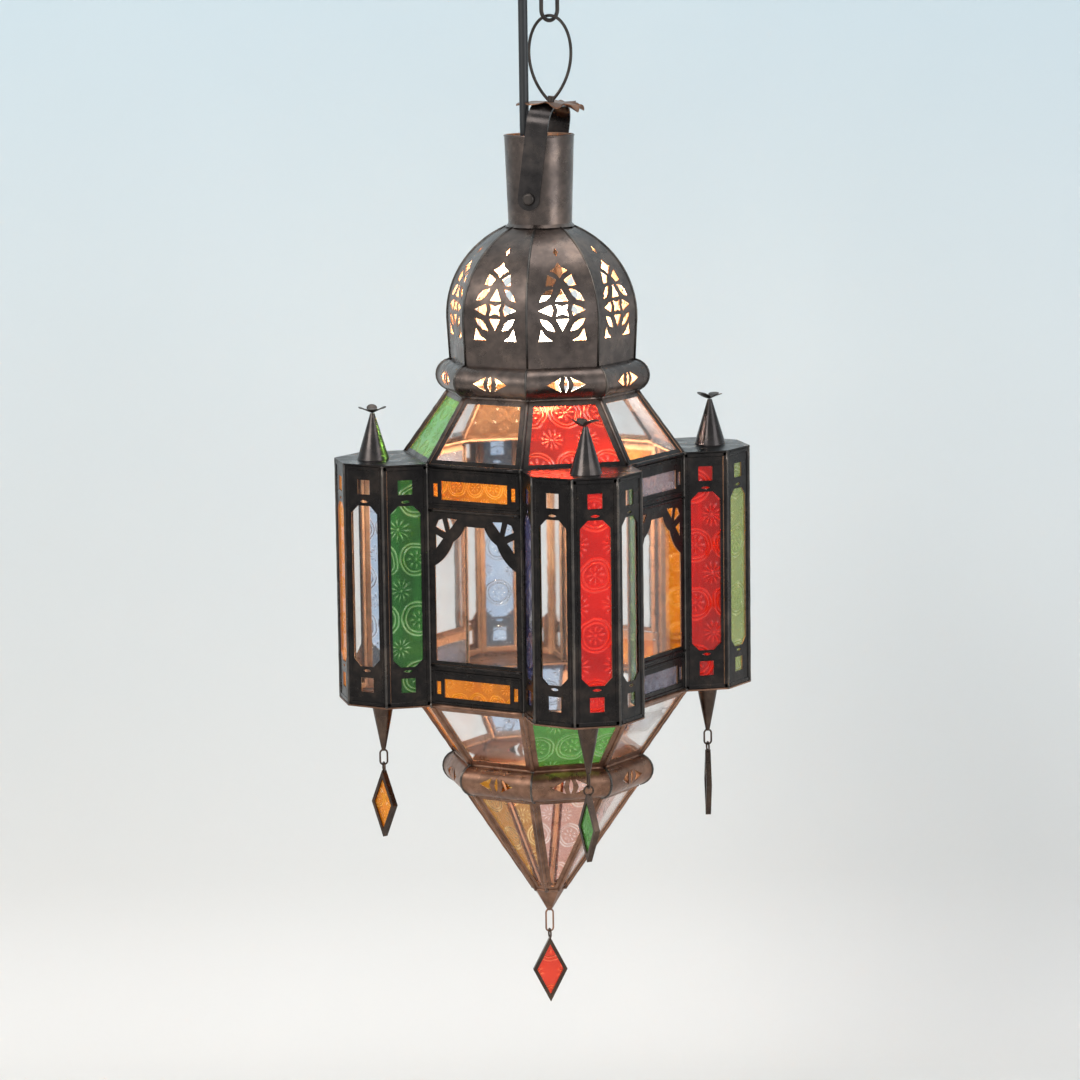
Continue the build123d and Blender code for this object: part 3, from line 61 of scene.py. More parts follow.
# Places: apothems of the eight sides and levels of the bands, from the frame, and sizes that the CAD has too
SIDES = 8
SIDE_TURN = 360.0 / SIDES
HALF = pi / SIDES
BODY_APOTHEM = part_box("body_rims")[1][0]
BODY_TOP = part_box("body_rims")[1][2]
BODY_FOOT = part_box("body_rims")[0][2]
DOME_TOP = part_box("dome_gores")[1][2]
DOME_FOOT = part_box("dome_gores")[0][2]
DOME_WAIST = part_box("dome_gores")[1][0]
DOME_MOUTH = 20.4 * MM
DOME_SHOULDER = 46.96 * MM
DOME_SHOULDER_DROP = 23.19 * MM
DOME_WAIST_DROP = 59.0 * MM
DOME_FOOT_APOTHEM = 55.6 * MM
COLLAR_BULGE = 8.0 * MM
COLLAR_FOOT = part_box("upper_collar")[0][2]
COLLAR_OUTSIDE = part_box("upper_collar")[1][0]
COLLAR_APOTHEM = COLLAR_OUTSIDE - COLLAR_BULGE
LOWER_COLLAR_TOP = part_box("lower_collar")[1][2]
LOWER_COLLAR_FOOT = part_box("lower_collar")[0][2]
ROOF_APOTHEM = 57.0 * MM
CONE_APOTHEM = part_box("cone_frames")[1][0]
CONE_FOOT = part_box("cone_frames")[0][2]
CAP_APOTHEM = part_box("tip_cap")[1][0]
BAY_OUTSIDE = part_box("bay_shell_right")[1][0]
BAY_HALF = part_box("bay_shell_right")[1][1]
NECK_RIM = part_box("neck_tube")[1][2]
NECK_RADIUS = 22.4 * MM
FINIAL_RADIUS = 10.3 * MM
FINIAL_AT = -(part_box("finial_cones")[0][0] + FINIAL_RADIUS)
FINIAL_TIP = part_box("finial_cones")[1][2]
BULB_RADIUS = 22.5 * MM
LAMP_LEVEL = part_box("bulb")[0][2] + BULB_RADIUS
BAIL_TURN = radians(-31.0)
BAIL_RISE = 60.0 * MM
ROSETTE_TURN = radians(23.5)


# Materials; the scales of their noises are in cells per metre

PATCHES = 26.0
SPECKS = 160.0
GLOSS_PATCHES = 85.0
DENTS = 42.0
GRAIN = 480.0
PATCH_SHARE = 0.6
GRAIN_SHARE = 0.1
DENT_DEPTH = 1.6 * MM
GLOSS_LOWER = 0.08
GLOSS_HIGHER = 0.12
TONE_STOPS = (0.3, 0.5, 0.72)
NOISE_LOW = 0.3
NOISE_HIGH = 0.7
INNER_METALLIC = 0.35
INNER_SHADE = 0.7
ROOF_START = 1.0 * MM


def new_material(name):
    """An empty node material and its Principled shader."""
    material = bpy.data.materials.new(name)
    material.use_nodes = True
    tree = material.node_tree
    return material, tree, tree.nodes["Principled BSDF"]


def node(tree, kind, inputs=None, **settings):
    """A shader node with its properties set and its inputs set or linked."""
    made = tree.nodes.new(kind)
    for key, value in settings.items():
        setattr(made, key, value)
    for key, value in (inputs or {}).items():
        if isinstance(value, bpy.types.NodeSocket):
            tree.links.new(value, made.inputs[key])
        else:
            made.inputs[key].default_value = value
    return made


def math(tree, operation, first, second=0.0):
    """Output of one Math node."""
    return node(tree, "ShaderNodeMath", {0: first, 1: second}, operation=operation).outputs[0]


def vector_math(tree, operation, first, second=(0, 0, 0)):
    """Output of one Vector Math node."""
    made = node(tree, "ShaderNodeVectorMath", {0: first, 1: second}, operation=operation)
    return made.outputs["Value" if operation == "DOT_PRODUCT" else "Vector"]


def remapped(tree, value, low, high, to_low=0.0, to_high=1.0):
    """A value moved from one range to another and held inside it."""
    ranges = {"From Min": low, "From Max": high, "To Min": to_low, "To Max": to_high}
    return node(tree, "ShaderNodeMapRange", {"Value": value, **ranges}).outputs["Result"]


def ramp(tree, factor, stops):
    """Output of a colour ramp with (position, colour) stops."""
    made = node(tree, "ShaderNodeValToRGB", {"Fac": factor})
    elements = made.color_ramp.elements
    while len(elements) < len(stops):
        elements.new(0.5)
    for element, (position, colour) in zip(elements, stops):
        element.position = position
        element.color = (*colour, 1.0)
    return made.outputs["Color"]


def mixed(tree, factor, first, second):
    """Colour between two, by a factor."""
    made = node(tree, "ShaderNodeMix", data_type="RGBA")
    for name, value in (("Factor_Float", factor), ("A_Color", first), ("B_Color", second)):
        tree.links.new(value, next(socket for socket in made.inputs if socket.identifier == name))
    return next(socket for socket in made.outputs if socket.identifier == "Result_Color")


def object_place(tree):
    """Place in the object's own coordinates."""
    return node(tree, "ShaderNodeTexCoord").outputs["Object"]


def object_axes(tree):
    """X, Y and Z of the place, by name."""
    return node(tree, "ShaderNodeSeparateXYZ", {0: object_place(tree)}).outputs


def noise(tree, scale, detail=4.0, roughness=0.55):
    """Factor of a noise in the object's own coordinates."""
    form = {"Vector": object_place(tree), "Scale": scale, "Detail": detail, "Roughness": roughness}
    return node(tree, "ShaderNodeTexNoise", form).outputs["Fac"]


def bumped(tree, shader, height, strength, depth):
    """Gives a shader a relief of a height, at a strength and a depth."""
    bump = node(tree, "ShaderNodeBump", {"Height": height, "Strength": strength, "Distance": depth})
    tree.links.new(bump.outputs["Normal"], shader.inputs["Normal"])


def patina(name, tones, roughness, metallic=0.9, dents=0.2, inner=None, upper=None):
    """Aged sheet metal with soft patches, uneven gloss and dents.

    Faces that look at the axis take the inner colour, and those above the body the upper tones, which are lighter:
    partly a warmer patina, partly painted light and sheen on the top of the lantern.
    """
    material, tree, shader = new_material(name)
    patches = math(tree, "MULTIPLY", noise(tree, PATCHES, detail=5.0), PATCH_SHARE)
    clouds = math(tree, "ADD", patches, math(tree, "MULTIPLY", noise(tree, SPECKS), 1 - PATCH_SHARE))
    colour = ramp(tree, clouds, list(zip(TONE_STOPS, tones)))
    # Upper tones over the roof, collars and dome: partly their warmer patina, partly painted light and sheen from
    # above.
    if upper:
        above = remapped(tree, object_axes(tree)["Z"], BODY_TOP + ROOF_START, COLLAR_FOOT)
        colour = mixed(tree, above, colour, ramp(tree, clouds, list(zip(TONE_STOPS, upper))))
    if inner:
        outward = vector_math(tree, "MULTIPLY", object_place(tree), (1, 1, 0))
        facing = node(tree, "ShaderNodeNewGeometry").outputs["True Normal"]
        inside = math(tree, "LESS_THAN", vector_math(tree, "DOT_PRODUCT", outward, facing), 0.0)
        shade = tuple(INNER_SHADE * c for c in inner)
        colour = mixed(tree, inside, colour, ramp(tree, clouds, [(NOISE_LOW, shade), (NOISE_HIGH, inner)]))
        shine = remapped(tree, inside, 0.0, 1.0, metallic, INNER_METALLIC)
        tree.links.new(shine, shader.inputs["Metallic"])
    else:
        shader.inputs["Metallic"].default_value = metallic
    tree.links.new(colour, shader.inputs["Base Color"])
    spots = noise(tree, GLOSS_PATCHES, detail=5.0)
    gloss = remapped(tree, spots, NOISE_LOW, NOISE_HIGH, roughness - GLOSS_LOWER, roughness + GLOSS_HIGHER)
    tree.links.new(gloss, shader.inputs["Roughness"])
    grain = math(tree, "MULTIPLY", noise(tree, GRAIN, detail=3.0), GRAIN_SHARE)
    bumped(tree, shader, math(tree, "ADD", noise(tree, DENTS, detail=2.0), grain), dents, DENT_DEPTH)
    return material


PLAIN_PATCHES = 120.0
PLAIN_GRAIN = 600.0
PLAIN_GRAIN_STRENGTH = 0.05
PLAIN_GRAIN_DEPTH = 0.4 * MM
PLAIN_STOPS = (0.35, 0.65)
PLAIN_SHADES = (0.8, 1.12)


def plain_finish(name, colour, roughness, metallic=0.0):
    """A simple finish with slight tone variation and a fine grain."""
    material, tree, shader = new_material(name)
    shades = [tuple(min(1.0, shade * c) for c in colour) for shade in PLAIN_SHADES]
    tone = ramp(tree, noise(tree, PLAIN_PATCHES), list(zip(PLAIN_STOPS, shades)))
    tree.links.new(tone, shader.inputs["Base Color"])
    shader.inputs["Metallic"].default_value = metallic
    shader.inputs["Roughness"].default_value = roughness
    bumped(tree, shader, noise(tree, PLAIN_GRAIN), PLAIN_GRAIN_STRENGTH, PLAIN_GRAIN_DEPTH)
    return material


def pane_places(tree):
    """Coordinates along and up a flat pane, in metres, whatever way it faces."""
    normal = node(tree, "ShaderNodeTexCoord").outputs["Normal"]
    along = vector_math(tree, "NORMALIZE", vector_math(tree, "CROSS_PRODUCT", (0, 0, 1), normal))
    up = vector_math(tree, "CROSS_PRODUCT", normal, along)
    return [vector_math(tree, "DOT_PRODUCT", object_place(tree), way) for way in (along, up)]


def ridge(tree, radius, at, half_width):
    """A ring-shaped ridge of height 1 at a radius, falling to nothing half a width to each side."""
    away = math(tree, "ABSOLUTE", math(tree, "SUBTRACT", radius, at))
    return math(tree, "MAXIMUM", math(tree, "SUBTRACT", 1.0, math(tree, "DIVIDE", away, half_width)), 0.0)


# Pressed pattern: radii and half widths of its ridges, in periods
LATTICE_RISE = 1.66
PATTERN_SWAY = 4.0 * MM
PATTERN_SWAY_SCALE = 70.0
ROUNDEL_RINGS = ((0.46, 0.045), (0.36, 0.04))
ROUNDEL_BEADS = 8.0
ROUNDEL_BEAD_RIDGE = (0.18, 0.1)
FLOWER_PETALS = 11.0
FLOWER_PETAL_RIDGE = (0.2, 0.14)
HUB_RIDGE = (0.0, 0.06)
PRESSED_DEPTH = 0.8 * MM


def lattice(tree, u, v, period, shift):
    """Radius, in periods, and angle about the nearest point of a lattice that is taller than wide."""
    across = math(tree, "ADD", math(tree, "DIVIDE", u, period), shift)
    upward = math(tree, "ADD", math(tree, "DIVIDE", v, period * LATTICE_RISE), shift)
    across = math(tree, "SUBTRACT", math(tree, "FRACT", across), 0.5)
    upward = math(tree, "MULTIPLY", math(tree, "SUBTRACT", math(tree, "FRACT", upward), 0.5), LATTICE_RISE)
    square = math(tree, "ADD", math(tree, "MULTIPLY", across, across), math(tree, "MULTIPLY", upward, upward))
    return math(tree, "SQRT", square), math(tree, "ARCTAN2", upward, across)


def spokes(tree, radius, angle, count, band):
    """A ring of ridges that point outwards."""
    wave = math(tree, "COSINE", math(tree, "MULTIPLY", angle, count))
    return math(tree, "MULTIPLY", math(tree, "MAXIMUM", wave, 0.0), ridge(tree, radius, *band))


def pressed_relief(tree, period):
    """Height of the glass's pressed pattern: ringed roundels, with many-petalled flowers between them."""
    u, v = pane_places(tree)
    sway = math(tree, "SUBTRACT", noise(tree, PATTERN_SWAY_SCALE, detail=1.0), 0.5)
    sway = math(tree, "MULTIPLY", sway, PATTERN_SWAY)
    u = math(tree, "ADD", u, sway)
    v = math(tree, "SUBTRACT", v, sway)
    radius, angle = lattice(tree, u, v, period, 0.5)
    rings = math(tree, "ADD", *[ridge(tree, radius, *ring) for ring in ROUNDEL_RINGS])
    beads = spokes(tree, radius, angle, ROUNDEL_BEADS, ROUNDEL_BEAD_RIDGE)
    roundel = math(tree, "ADD", rings, math(tree, "ADD", beads, ridge(tree, radius, *HUB_RIDGE)))
    radius, angle = lattice(tree, u, v, period, 0.0)
    petals = spokes(tree, radius, angle, FLOWER_PETALS, FLOWER_PETAL_RIDGE)
    flower = math(tree, "ADD", petals, ridge(tree, radius, *HUB_RIDGE))
    return math(tree, "MINIMUM", math(tree, "ADD", roundel, flower), 1.0)


GLASS_STOPS = (0.0, 0.35, 1.0)
GLASS_CLOUDS = 22.0
RELIEF_SHARE = 0.7
PRESSED_STRENGTH = 0.8
PRESSED_IOR = 1.45
PLAIN_IOR = 1.4
FACING_LIMIT = 0.9


def pressed_glass(
    name, tones, period, glow, above=None, below=None, facing=None, clarity=0.75, roughness=0.14
):
    """Coloured glass pressed with roundels and flowers, its ridges painted paler as highlight, with a painted glow
    that stands in for the lamp behind it.

    Tones run from the hollows to the ridges. Above gives those of panes above the body, below those of panes below
    it, and facing a direction and the tones of the panes that look along it; these are lighter or darker copies of
    the same glass, painted backlight and painted shade.
    """
    material, tree, shader = new_material(name)
    height = pressed_relief(tree, period)
    clouds = remapped(tree, noise(tree, GLASS_CLOUDS, detail=2.0), NOISE_LOW, NOISE_HIGH)
    clouds = math(tree, "MULTIPLY", clouds, 1 - RELIEF_SHARE)
    level = math(tree, "ADD", math(tree, "MULTIPLY", height, RELIEF_SHARE), clouds)

    def shades(three):
        return ramp(tree, level, list(zip(GLASS_STOPS, three)))

    # Tint from the hollow to the ridge tones; the paler ridge tones are painted highlight.
    tint = shades(tones)
    rise = object_axes(tree)["Z"]
    # Above, below and facing swap in lighter or darker copies of the glass: painted backlight and painted shade.
    if above:
        tint = mixed(tree, math(tree, "GREATER_THAN", rise, BODY_TOP), tint, shades(above))
    if below:
        tint = mixed(tree, math(tree, "LESS_THAN", rise, BODY_FOOT), tint, shades(below))
    if facing:
        normal = node(tree, "ShaderNodeTexCoord").outputs["Normal"]
        turned = math(tree, "ABSOLUTE", vector_math(tree, "DOT_PRODUCT", normal, facing[0]))
        tint = mixed(tree, math(tree, "GREATER_THAN", turned, FACING_LIMIT), tint, shades(facing[1]))
    tree.links.new(tint, shader.inputs["Base Color"])
    # The tint also glows at the given strength: painted emission standing in for the lamp behind the pane.
    tree.links.new(tint, shader.inputs["Emission Color"])
    shader.inputs["Emission Strength"].default_value = glow
    shader.inputs["Transmission Weight"].default_value = clarity
    shader.inputs["Roughness"].default_value = roughness
    shader.inputs["IOR"].default_value = PRESSED_IOR
    bumped(tree, shader, height, PRESSED_STRENGTH, PRESSED_DEPTH)
    return material


CLEAR_PATCHES = 34.0
CLEAR_STOPS = (0.36, 0.5, 0.64)
CLEAR_TONES = ((0.94, 0.9, 0.88), (0.97, 0.96, 0.95), (0.96, 0.93, 0.92))
CLEAR_ROUGHNESS = 0.05
RIPPLES = 60.0
RIPPLE_STRENGTH = 0.04
RIPPLE_DEPTH = 1.5 * MM


def clear_glass(name):
    """Clear old glass, faintly tinted in patches and slowly rippled."""
    material, tree, shader = new_material(name)
    tint = ramp(tree, noise(tree, CLEAR_PATCHES, detail=3.0), list(zip(CLEAR_STOPS, CLEAR_TONES)))
    tree.links.new(tint, shader.inputs["Base Color"])
    shader.inputs["Transmission Weight"].default_value = 1.0
    shader.inputs["Roughness"].default_value = CLEAR_ROUGHNESS
    shader.inputs["IOR"].default_value = PLAIN_IOR
    bumped(tree, shader, noise(tree, RIPPLES, detail=2.0), RIPPLE_STRENGTH, RIPPLE_DEPTH)
    return material


CONE_PERIOD = 17.0 * MM
# Pink patches of the front panes: partly the old glass's tint, partly painted reflection.
CONE_CLEAR = [(0.36, (0.92, 0.84, 0.78)), (0.64, (0.96, 0.93, 0.92))]
# Amber and rose of the back panes: painted reflection of tinted light, seen through the front panes; their paler
# ridges are painted highlight.
CONE_AMBER_REFLECTION = [(0.0, (0.6, 0.25, 0.03)), (1.0, (0.98, 0.72, 0.3))]
CONE_ROSE_REFLECTION = [(0.0, (0.74, 0.4, 0.34)), (1.0, (0.98, 0.88, 0.84))]
CONE_ROUGHNESS = 0.03
CONE_STRENGTH = 0.3


def cone_glass(name):
    """Glass of the cone: clear in front, pressed amber and rose behind; the back tints are painted reflection, the
    front's pink patches partly the old glass's tint and partly painted reflection.
    """
    material, tree, shader = new_material(name)
    axes = object_axes(tree)
    height = pressed_relief(tree, CONE_PERIOD)
    clear = ramp(tree, noise(tree, CLEAR_PATCHES, detail=3.0), CONE_CLEAR)
    rightward = math(tree, "GREATER_THAN", axes["X"], 0.0)
    painted_reflection = mixed(tree, rightward, ramp(tree, height, CONE_AMBER_REFLECTION), ramp(tree, height, CONE_ROSE_REFLECTION))
    behind = math(tree, "GREATER_THAN", axes["Y"], 0.0)
    tree.links.new(mixed(tree, behind, clear, painted_reflection), shader.inputs["Base Color"])
    shader.inputs["Transmission Weight"].default_value = 1.0
    shader.inputs["Roughness"].default_value = CONE_ROUGHNESS
    shader.inputs["IOR"].default_value = PLAIN_IOR
    bumped(tree, shader, math(tree, "MULTIPLY", height, behind), CONE_STRENGTH, PRESSED_DEPTH)
    return material


BULB_PATCHES = 30.0
BULB_TONES = ((1.0, 0.86, 0.62), (1.0, 0.92, 0.76))
BULB_STRENGTH = 9.0
BULB_ROUGHNESS = 0.3


def lit_bulb(name):
    """Opal lamp glass that gives warm light."""
    material, tree, shader = new_material(name)
    tone = ramp(tree, noise(tree, BULB_PATCHES), list(zip((NOISE_LOW, NOISE_HIGH), BULB_TONES)))
    tree.links.new(tone, shader.inputs["Base Color"])
    tree.links.new(tone, shader.inputs["Emission Color"])
    shader.inputs["Emission Strength"].default_value = BULB_STRENGTH
    shader.inputs["Roughness"].default_value = BULB_ROUGHNESS
    return material


INNER_BROWN = (0.46, 0.25, 0.15)
DARK_TONES = [(0.011, 0.0095, 0.0098), (0.022, 0.019, 0.018), (0.055, 0.041, 0.034)]
# Dome tones: a warmer patina with painted light and sheen, lighter than the same sheet on the body.
DOME_PATINA_AND_SHEEN = [(0.055, 0.044, 0.04), (0.12, 0.092, 0.08), (0.25, 0.18, 0.145)]
BRONZE_TONES = [(0.07, 0.04, 0.03), (0.2, 0.105, 0.068), (0.38, 0.21, 0.14)]
BLACK_TRIM_TONES = [(0.025, 0.022, 0.022), (0.05, 0.043, 0.041), (0.1, 0.08, 0.07)]
BRONZE_TRIM_TONES = [(0.035, 0.025, 0.021), (0.075, 0.05, 0.038), (0.15, 0.095, 0.066)]
COPPER_TONES = [(0.1, 0.05, 0.03), (0.27, 0.13, 0.075), (0.42, 0.22, 0.13)]
WIRE_TONES = [(0.03, 0.027, 0.025), (0.06, 0.05, 0.045), (0.12, 0.095, 0.08)]
SOLDER_TONES = [(0.04, 0.037, 0.036), (0.085, 0.075, 0.068), (0.19, 0.15, 0.12)]
CAME_TONES = [(0.13, 0.075, 0.045), (0.24, 0.14, 0.09), (0.38, 0.25, 0.17)]
BLACKENED = patina("blackened_sheet", DARK_TONES, roughness=0.28, inner=INNER_BROWN, upper=DOME_PATINA_AND_SHEEN)
BRONZED = patina("bronzed_sheet", BRONZE_TONES, roughness=0.3, inner=INNER_BROWN)
BLACK_TRIM = patina("blackened_trim", BLACK_TRIM_TONES, roughness=0.26)
BRONZE_TRIM = patina("bronzed_trim", BRONZE_TRIM_TONES, roughness=0.3)
COPPER = patina("copper_sheet", COPPER_TONES, roughness=0.36)
WIRE = patina("dark_wire", WIRE_TONES, roughness=0.38, dents=0.1)
SOLDER = patina("solder_seam", SOLDER_TONES, roughness=0.3, dents=0.3)
INNER_TRIM = patina("inner_trim", CAME_TONES, roughness=0.45, metallic=0.3)
ZINC = plain_finish("zinc_steel", (0.55, 0.55, 0.55), roughness=0.38, metallic=1.0)
PLASTIC = plain_finish("black_plastic", (0.02, 0.02, 0.02), roughness=0.45)
SHEATH = plain_finish("cable_sheath", (0.012, 0.012, 0.013), roughness=0.42)
BULB = lit_bulb("bulb_glass")
CLEAR = clear_glass("clear_glass")
CONE_GLASS = cone_glass("cone_glass")
# Copies of the same glass: greens lighter above and below the body and on panes facing one way as painted
# backlight and side light, blues darker on panes facing along X as painted shade.
PAINTED_BACKLIT_GREENS = [(0.08, 0.32, 0.05), (0.19, 0.52, 0.11), (0.68, 0.92, 0.55)]
PAINTED_SIDE_LIGHT_GREENS = [(0.36, 0.46, 0.15), (0.52, 0.6, 0.24), (0.8, 0.84, 0.55)]
PAINTED_SHADE_BLUES = [(0.06, 0.06, 0.16), (0.11, 0.11, 0.26), (0.3, 0.3, 0.5)]
# Red: the above and below tones are paler copies of the glass, painted backlight.
RED = pressed_glass(
    "red_glass",
    [(0.42, 0.008, 0.005), (0.7, 0.016, 0.008), (0.86, 0.06, 0.028)],
    period=23.0 * MM,
    glow=0.24,
    above=[(0.5, 0.03, 0.018), (0.68, 0.06, 0.034), (0.88, 0.26, 0.16)],
    below=[(0.5, 0.03, 0.012), (0.72, 0.06, 0.022), (0.88, 0.2, 0.08)],
)
GREEN = pressed_glass(
    "green_glass",
    [(0.022, 0.14, 0.02), (0.07, 0.28, 0.045), (0.62, 0.88, 0.48)],
    period=23.0 * MM,
    glow=0.1,
    above=PAINTED_BACKLIT_GREENS,
    below=PAINTED_BACKLIT_GREENS,
    facing=((0.707, -0.707, 0), PAINTED_SIDE_LIGHT_GREENS),
)
# Amber: the above tones are a darker brown copy of the glass on the roof, painted shade.
AMBER = pressed_glass(
    "amber_glass",
    [(0.42, 0.12, 0.004), (0.74, 0.26, 0.008), (0.98, 0.58, 0.12)],
    period=14.0 * MM,
    glow=0.28,
    above=[(0.2, 0.085, 0.03), (0.36, 0.17, 0.07), (0.62, 0.36, 0.18)],
    clarity=0.85,
)
BLUE = pressed_glass(
    "blue_glass",
    [(0.4, 0.52, 0.72), (0.56, 0.68, 0.86), (0.8, 0.88, 0.98)],
    period=19.0 * MM,
    glow=0.05,
    facing=((1, 0, 0), PAINTED_SHADE_BLUES),
    clarity=0.95,
    roughness=0.06,
)
GREY = pressed_glass(
    "grey_glass",
    [(0.2, 0.2, 0.27), (0.4, 0.39, 0.47), (0.85, 0.85, 0.92)],
    period=10.0 * MM,
    glow=0.03,
)
SLOT_FINISHES = {
    "blackened_sheet": BLACKENED,
    "bronzed_sheet": BRONZED,
    "copper_sheet": COPPER,
    "dark_wire": WIRE,
    "zinc_steel": ZINC,
    "black_plastic": PLASTIC,
    "cable_sheath": SHEATH,
    "bulb_glass": BULB,
    "clear_glass": CLEAR,
    "red_glass": RED,
    "green_glass": GREEN,
    "amber_glass": AMBER,
    "blue_glass": BLUE,
    "grey_glass": GREY,
}
NODE_FINISHES = {
    "cone_panes": CONE_GLASS,
    "finial_cones": BLACK_TRIM,
    "bail_strap": BLACK_TRIM,
    "drop_cones": BRONZE_TRIM,
    **{name: BRONZE_TRIM for name in nodes if name.startswith("pendant_frame")},
}
for subpart in frame["record"]["subparts"]:
    mesh = nodes[subpart["node"]].data
    mesh.materials.clear()
    mesh.materials.append(NODE_FINISHES.get(subpart["node"], SLOT_FINISHES[subpart["material_slot"]]))


# Pieces

def add_piece(name, bm, material, body, smooth=True):
    """A finished mesh piece with the given finish, which rides on a body, if one is named."""
    mesh = bpy.data.meshes.new(name)
    bmesh.ops.recalc_face_normals(bm, faces=bm.faces)
    bm.to_mesh(mesh)
    bm.free()
    for polygon in mesh.polygons:
        polygon.use_smooth = smooth
    mesh.materials.append(material)
    made = bpy.data.objects.new(name, mesh)
    bpy.context.scene.collection.objects.link(made)
    if body:
        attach(made, body)
    return made


def add_tube(bm, points, radius, sides=10):
    """A capped round bead along points, its radius one number or one for each point."""
    radii = radius if isinstance(radius, list) else [radius] * len(points)
    rings = []
    across = None
    for index, point in enumerate(points):
        before = points[max(index - 1, 0)]
        after = points[min(index + 1, len(points) - 1)]
        tangent = (after - before).normalized()
        if across is None:
            across = tangent.orthogonal()
        across = (across - tangent * across.dot(tangent)).normalized()
        normal = tangent.cross(across)
        ring = []
        for step in range(sides):
            angle = 2 * pi * step / sides
            ring.append(bm.verts.new(point + (across * cos(angle) + normal * sin(angle)) * radii[index]))
        rings.append(ring)
    for first, second in zip(rings, rings[1:]):
        for step in range(sides):
            following = (step + 1) % sides
            bm.faces.new((first[step], first[following], second[following], second[step]))
    bm.faces.new(list(reversed(rings[0])))
    bm.faces.new(rings[-1])


BEVEL_SHARE = 0.8


def add_bar(bm, start, end, normal, width, height):
    """A flat strip with bevelled edges from start to end, lying on a face with that outward normal."""
    along = (end - start).normalized()
    across = normal.cross(along).normalized() * width / 2
    bevel = across.normalized() * height * BEVEL_SHARE
    section = [
        -across - normal * height,
        -across,
        -across + bevel + normal * height,
        across - bevel + normal * height,
        across,
        across - normal * height,
    ]
    rings = [[bm.verts.new(place + offset) for offset in section] for place in (start, end)]
    for step in range(len(section)):
        following = (step + 1) % len(section)
        bm.faces.new((rings[0][step], rings[0][following], rings[1][following], rings[1][step]))
    bm.faces.new(list(reversed(rings[0])))
    bm.faces.new(rings[1])


BLOB_FORM = (1.0, 0.85, 0.7, 1.0)
BLOB_AXIS = Vector((0.6, 0.3, 0.7))
BLOB_TURN_X = 90.0
BLOB_TURN_Y = 55.0


def add_blob(bm, centre, radius):
    """A drop of solder, a little flattened and uneven, each one turned another way."""
    lean = Matrix.Rotation(centre.x * BLOB_TURN_X + centre.y * BLOB_TURN_Y, 4, BLOB_AXIS)
    form = Matrix.Translation(centre) @ lean @ Matrix.Diagonal(BLOB_FORM)
    bmesh.ops.create_icosphere(bm, subdivisions=2, radius=radius, matrix=form)


PETAL_STEPS = 12
PETAL_FULLNESS = 0.6
FLOWER_SHARES = (0.25, 0.45, 0.62, 0.76, 0.88, 0.96, 1.0)


def add_flower(bm, place, petals, disc, reach, thickness, bend):
    """A sheet flower about a placed Z axis; bend gives its height at an angle and a radius."""
    steps = petals * PETAL_STEPS
    layers = []
    for drop in (0.0, thickness):
        grid = []
        for step in range(steps):
            angle = 2 * pi * step / steps
            edge = disc + (reach - disc) * abs(cos(petals * angle / 2)) ** PETAL_FULLNESS
            row = []
            for share in FLOWER_SHARES:
                radius = edge * share
                spot = Vector((radius * cos(angle), radius * sin(angle), bend(angle, radius) - drop))
                row.append(bm.verts.new(place @ spot))
            grid.append(row)
        layers.append((grid, bm.verts.new(place @ Vector((0, 0, bend(0.0, 0.0) - drop)))))
    for grid, hub in layers:
        for step in range(steps):
            first = grid[step]
            second = grid[(step + 1) % steps]
            bm.faces.new((hub, first[0], second[0]))
            for ring in range(len(first) - 1):
                bm.faces.new((first[ring], first[ring + 1], second[ring + 1], second[ring]))
    upper = layers[0][0]
    lower = layers[1][0]
    for step in range(steps):
        following = (step + 1) % steps
        bm.faces.new((upper[step][-1], lower[step][-1], lower[following][-1], upper[following][-1]))


def direction(turn):
    """Horizontal unit vector at an angle from +X, in degrees."""
    return Vector((cos(radians(turn)), sin(radians(turn)), 0))


def upright(level):
    """Vector from the origin straight up to a level."""
    return Vector((0, 0, level))


def corner(apothem, level, side):
    """Point on the edge between one of the eight sides and the next."""
    return direction((side + 0.5) * SIDE_TURN) * (apothem / cos(HALF)) + upright(level)


SWELL_STEP = 2.3
SWELL_X = 310.0
SWELL_Y = 170.0


def run(start, end, count, radius, swell):
    """Points and radii of a hand-run solder bead between two points, which swells here and there."""
    points = [start.lerp(end, index / (count - 1)) for index in range(count)]
    waves = [sin(SWELL_STEP * index + SWELL_X * start.x + SWELL_Y * start.y) for index in range(count)]
    return points, [radius * (1 + swell * wave) for wave in waves]


def arc_through(first, second, third, count):
    """Points, (apothem, level) each, along the circle through three of them."""
    (ax, ay), (bx, by), (cx, cy) = first, second, third
    d = 2 * (ax * (by - cy) + bx * (cy - ay) + cx * (ay - by))
    ux = ((ax**2 + ay**2) * (by - cy) + (bx**2 + by**2) * (cy - ay) + (cx**2 + cy**2) * (ay - by)) / d
    uy = ((ax**2 + ay**2) * (cx - bx) + (bx**2 + by**2) * (ax - cx) + (cx**2 + cy**2) * (bx - ax)) / d
    radius = sqrt((ax - ux) ** 2 + (ay - uy) ** 2)
    begin = atan2(ay - uy, ax - ux)
    sweep = atan2(cy - uy, cx - ux) - begin
    angles = [begin + sweep * index / (count - 1) for index in range(count)]
    return [(ux + radius * cos(angle), uy + radius * sin(angle)) for angle in angles]


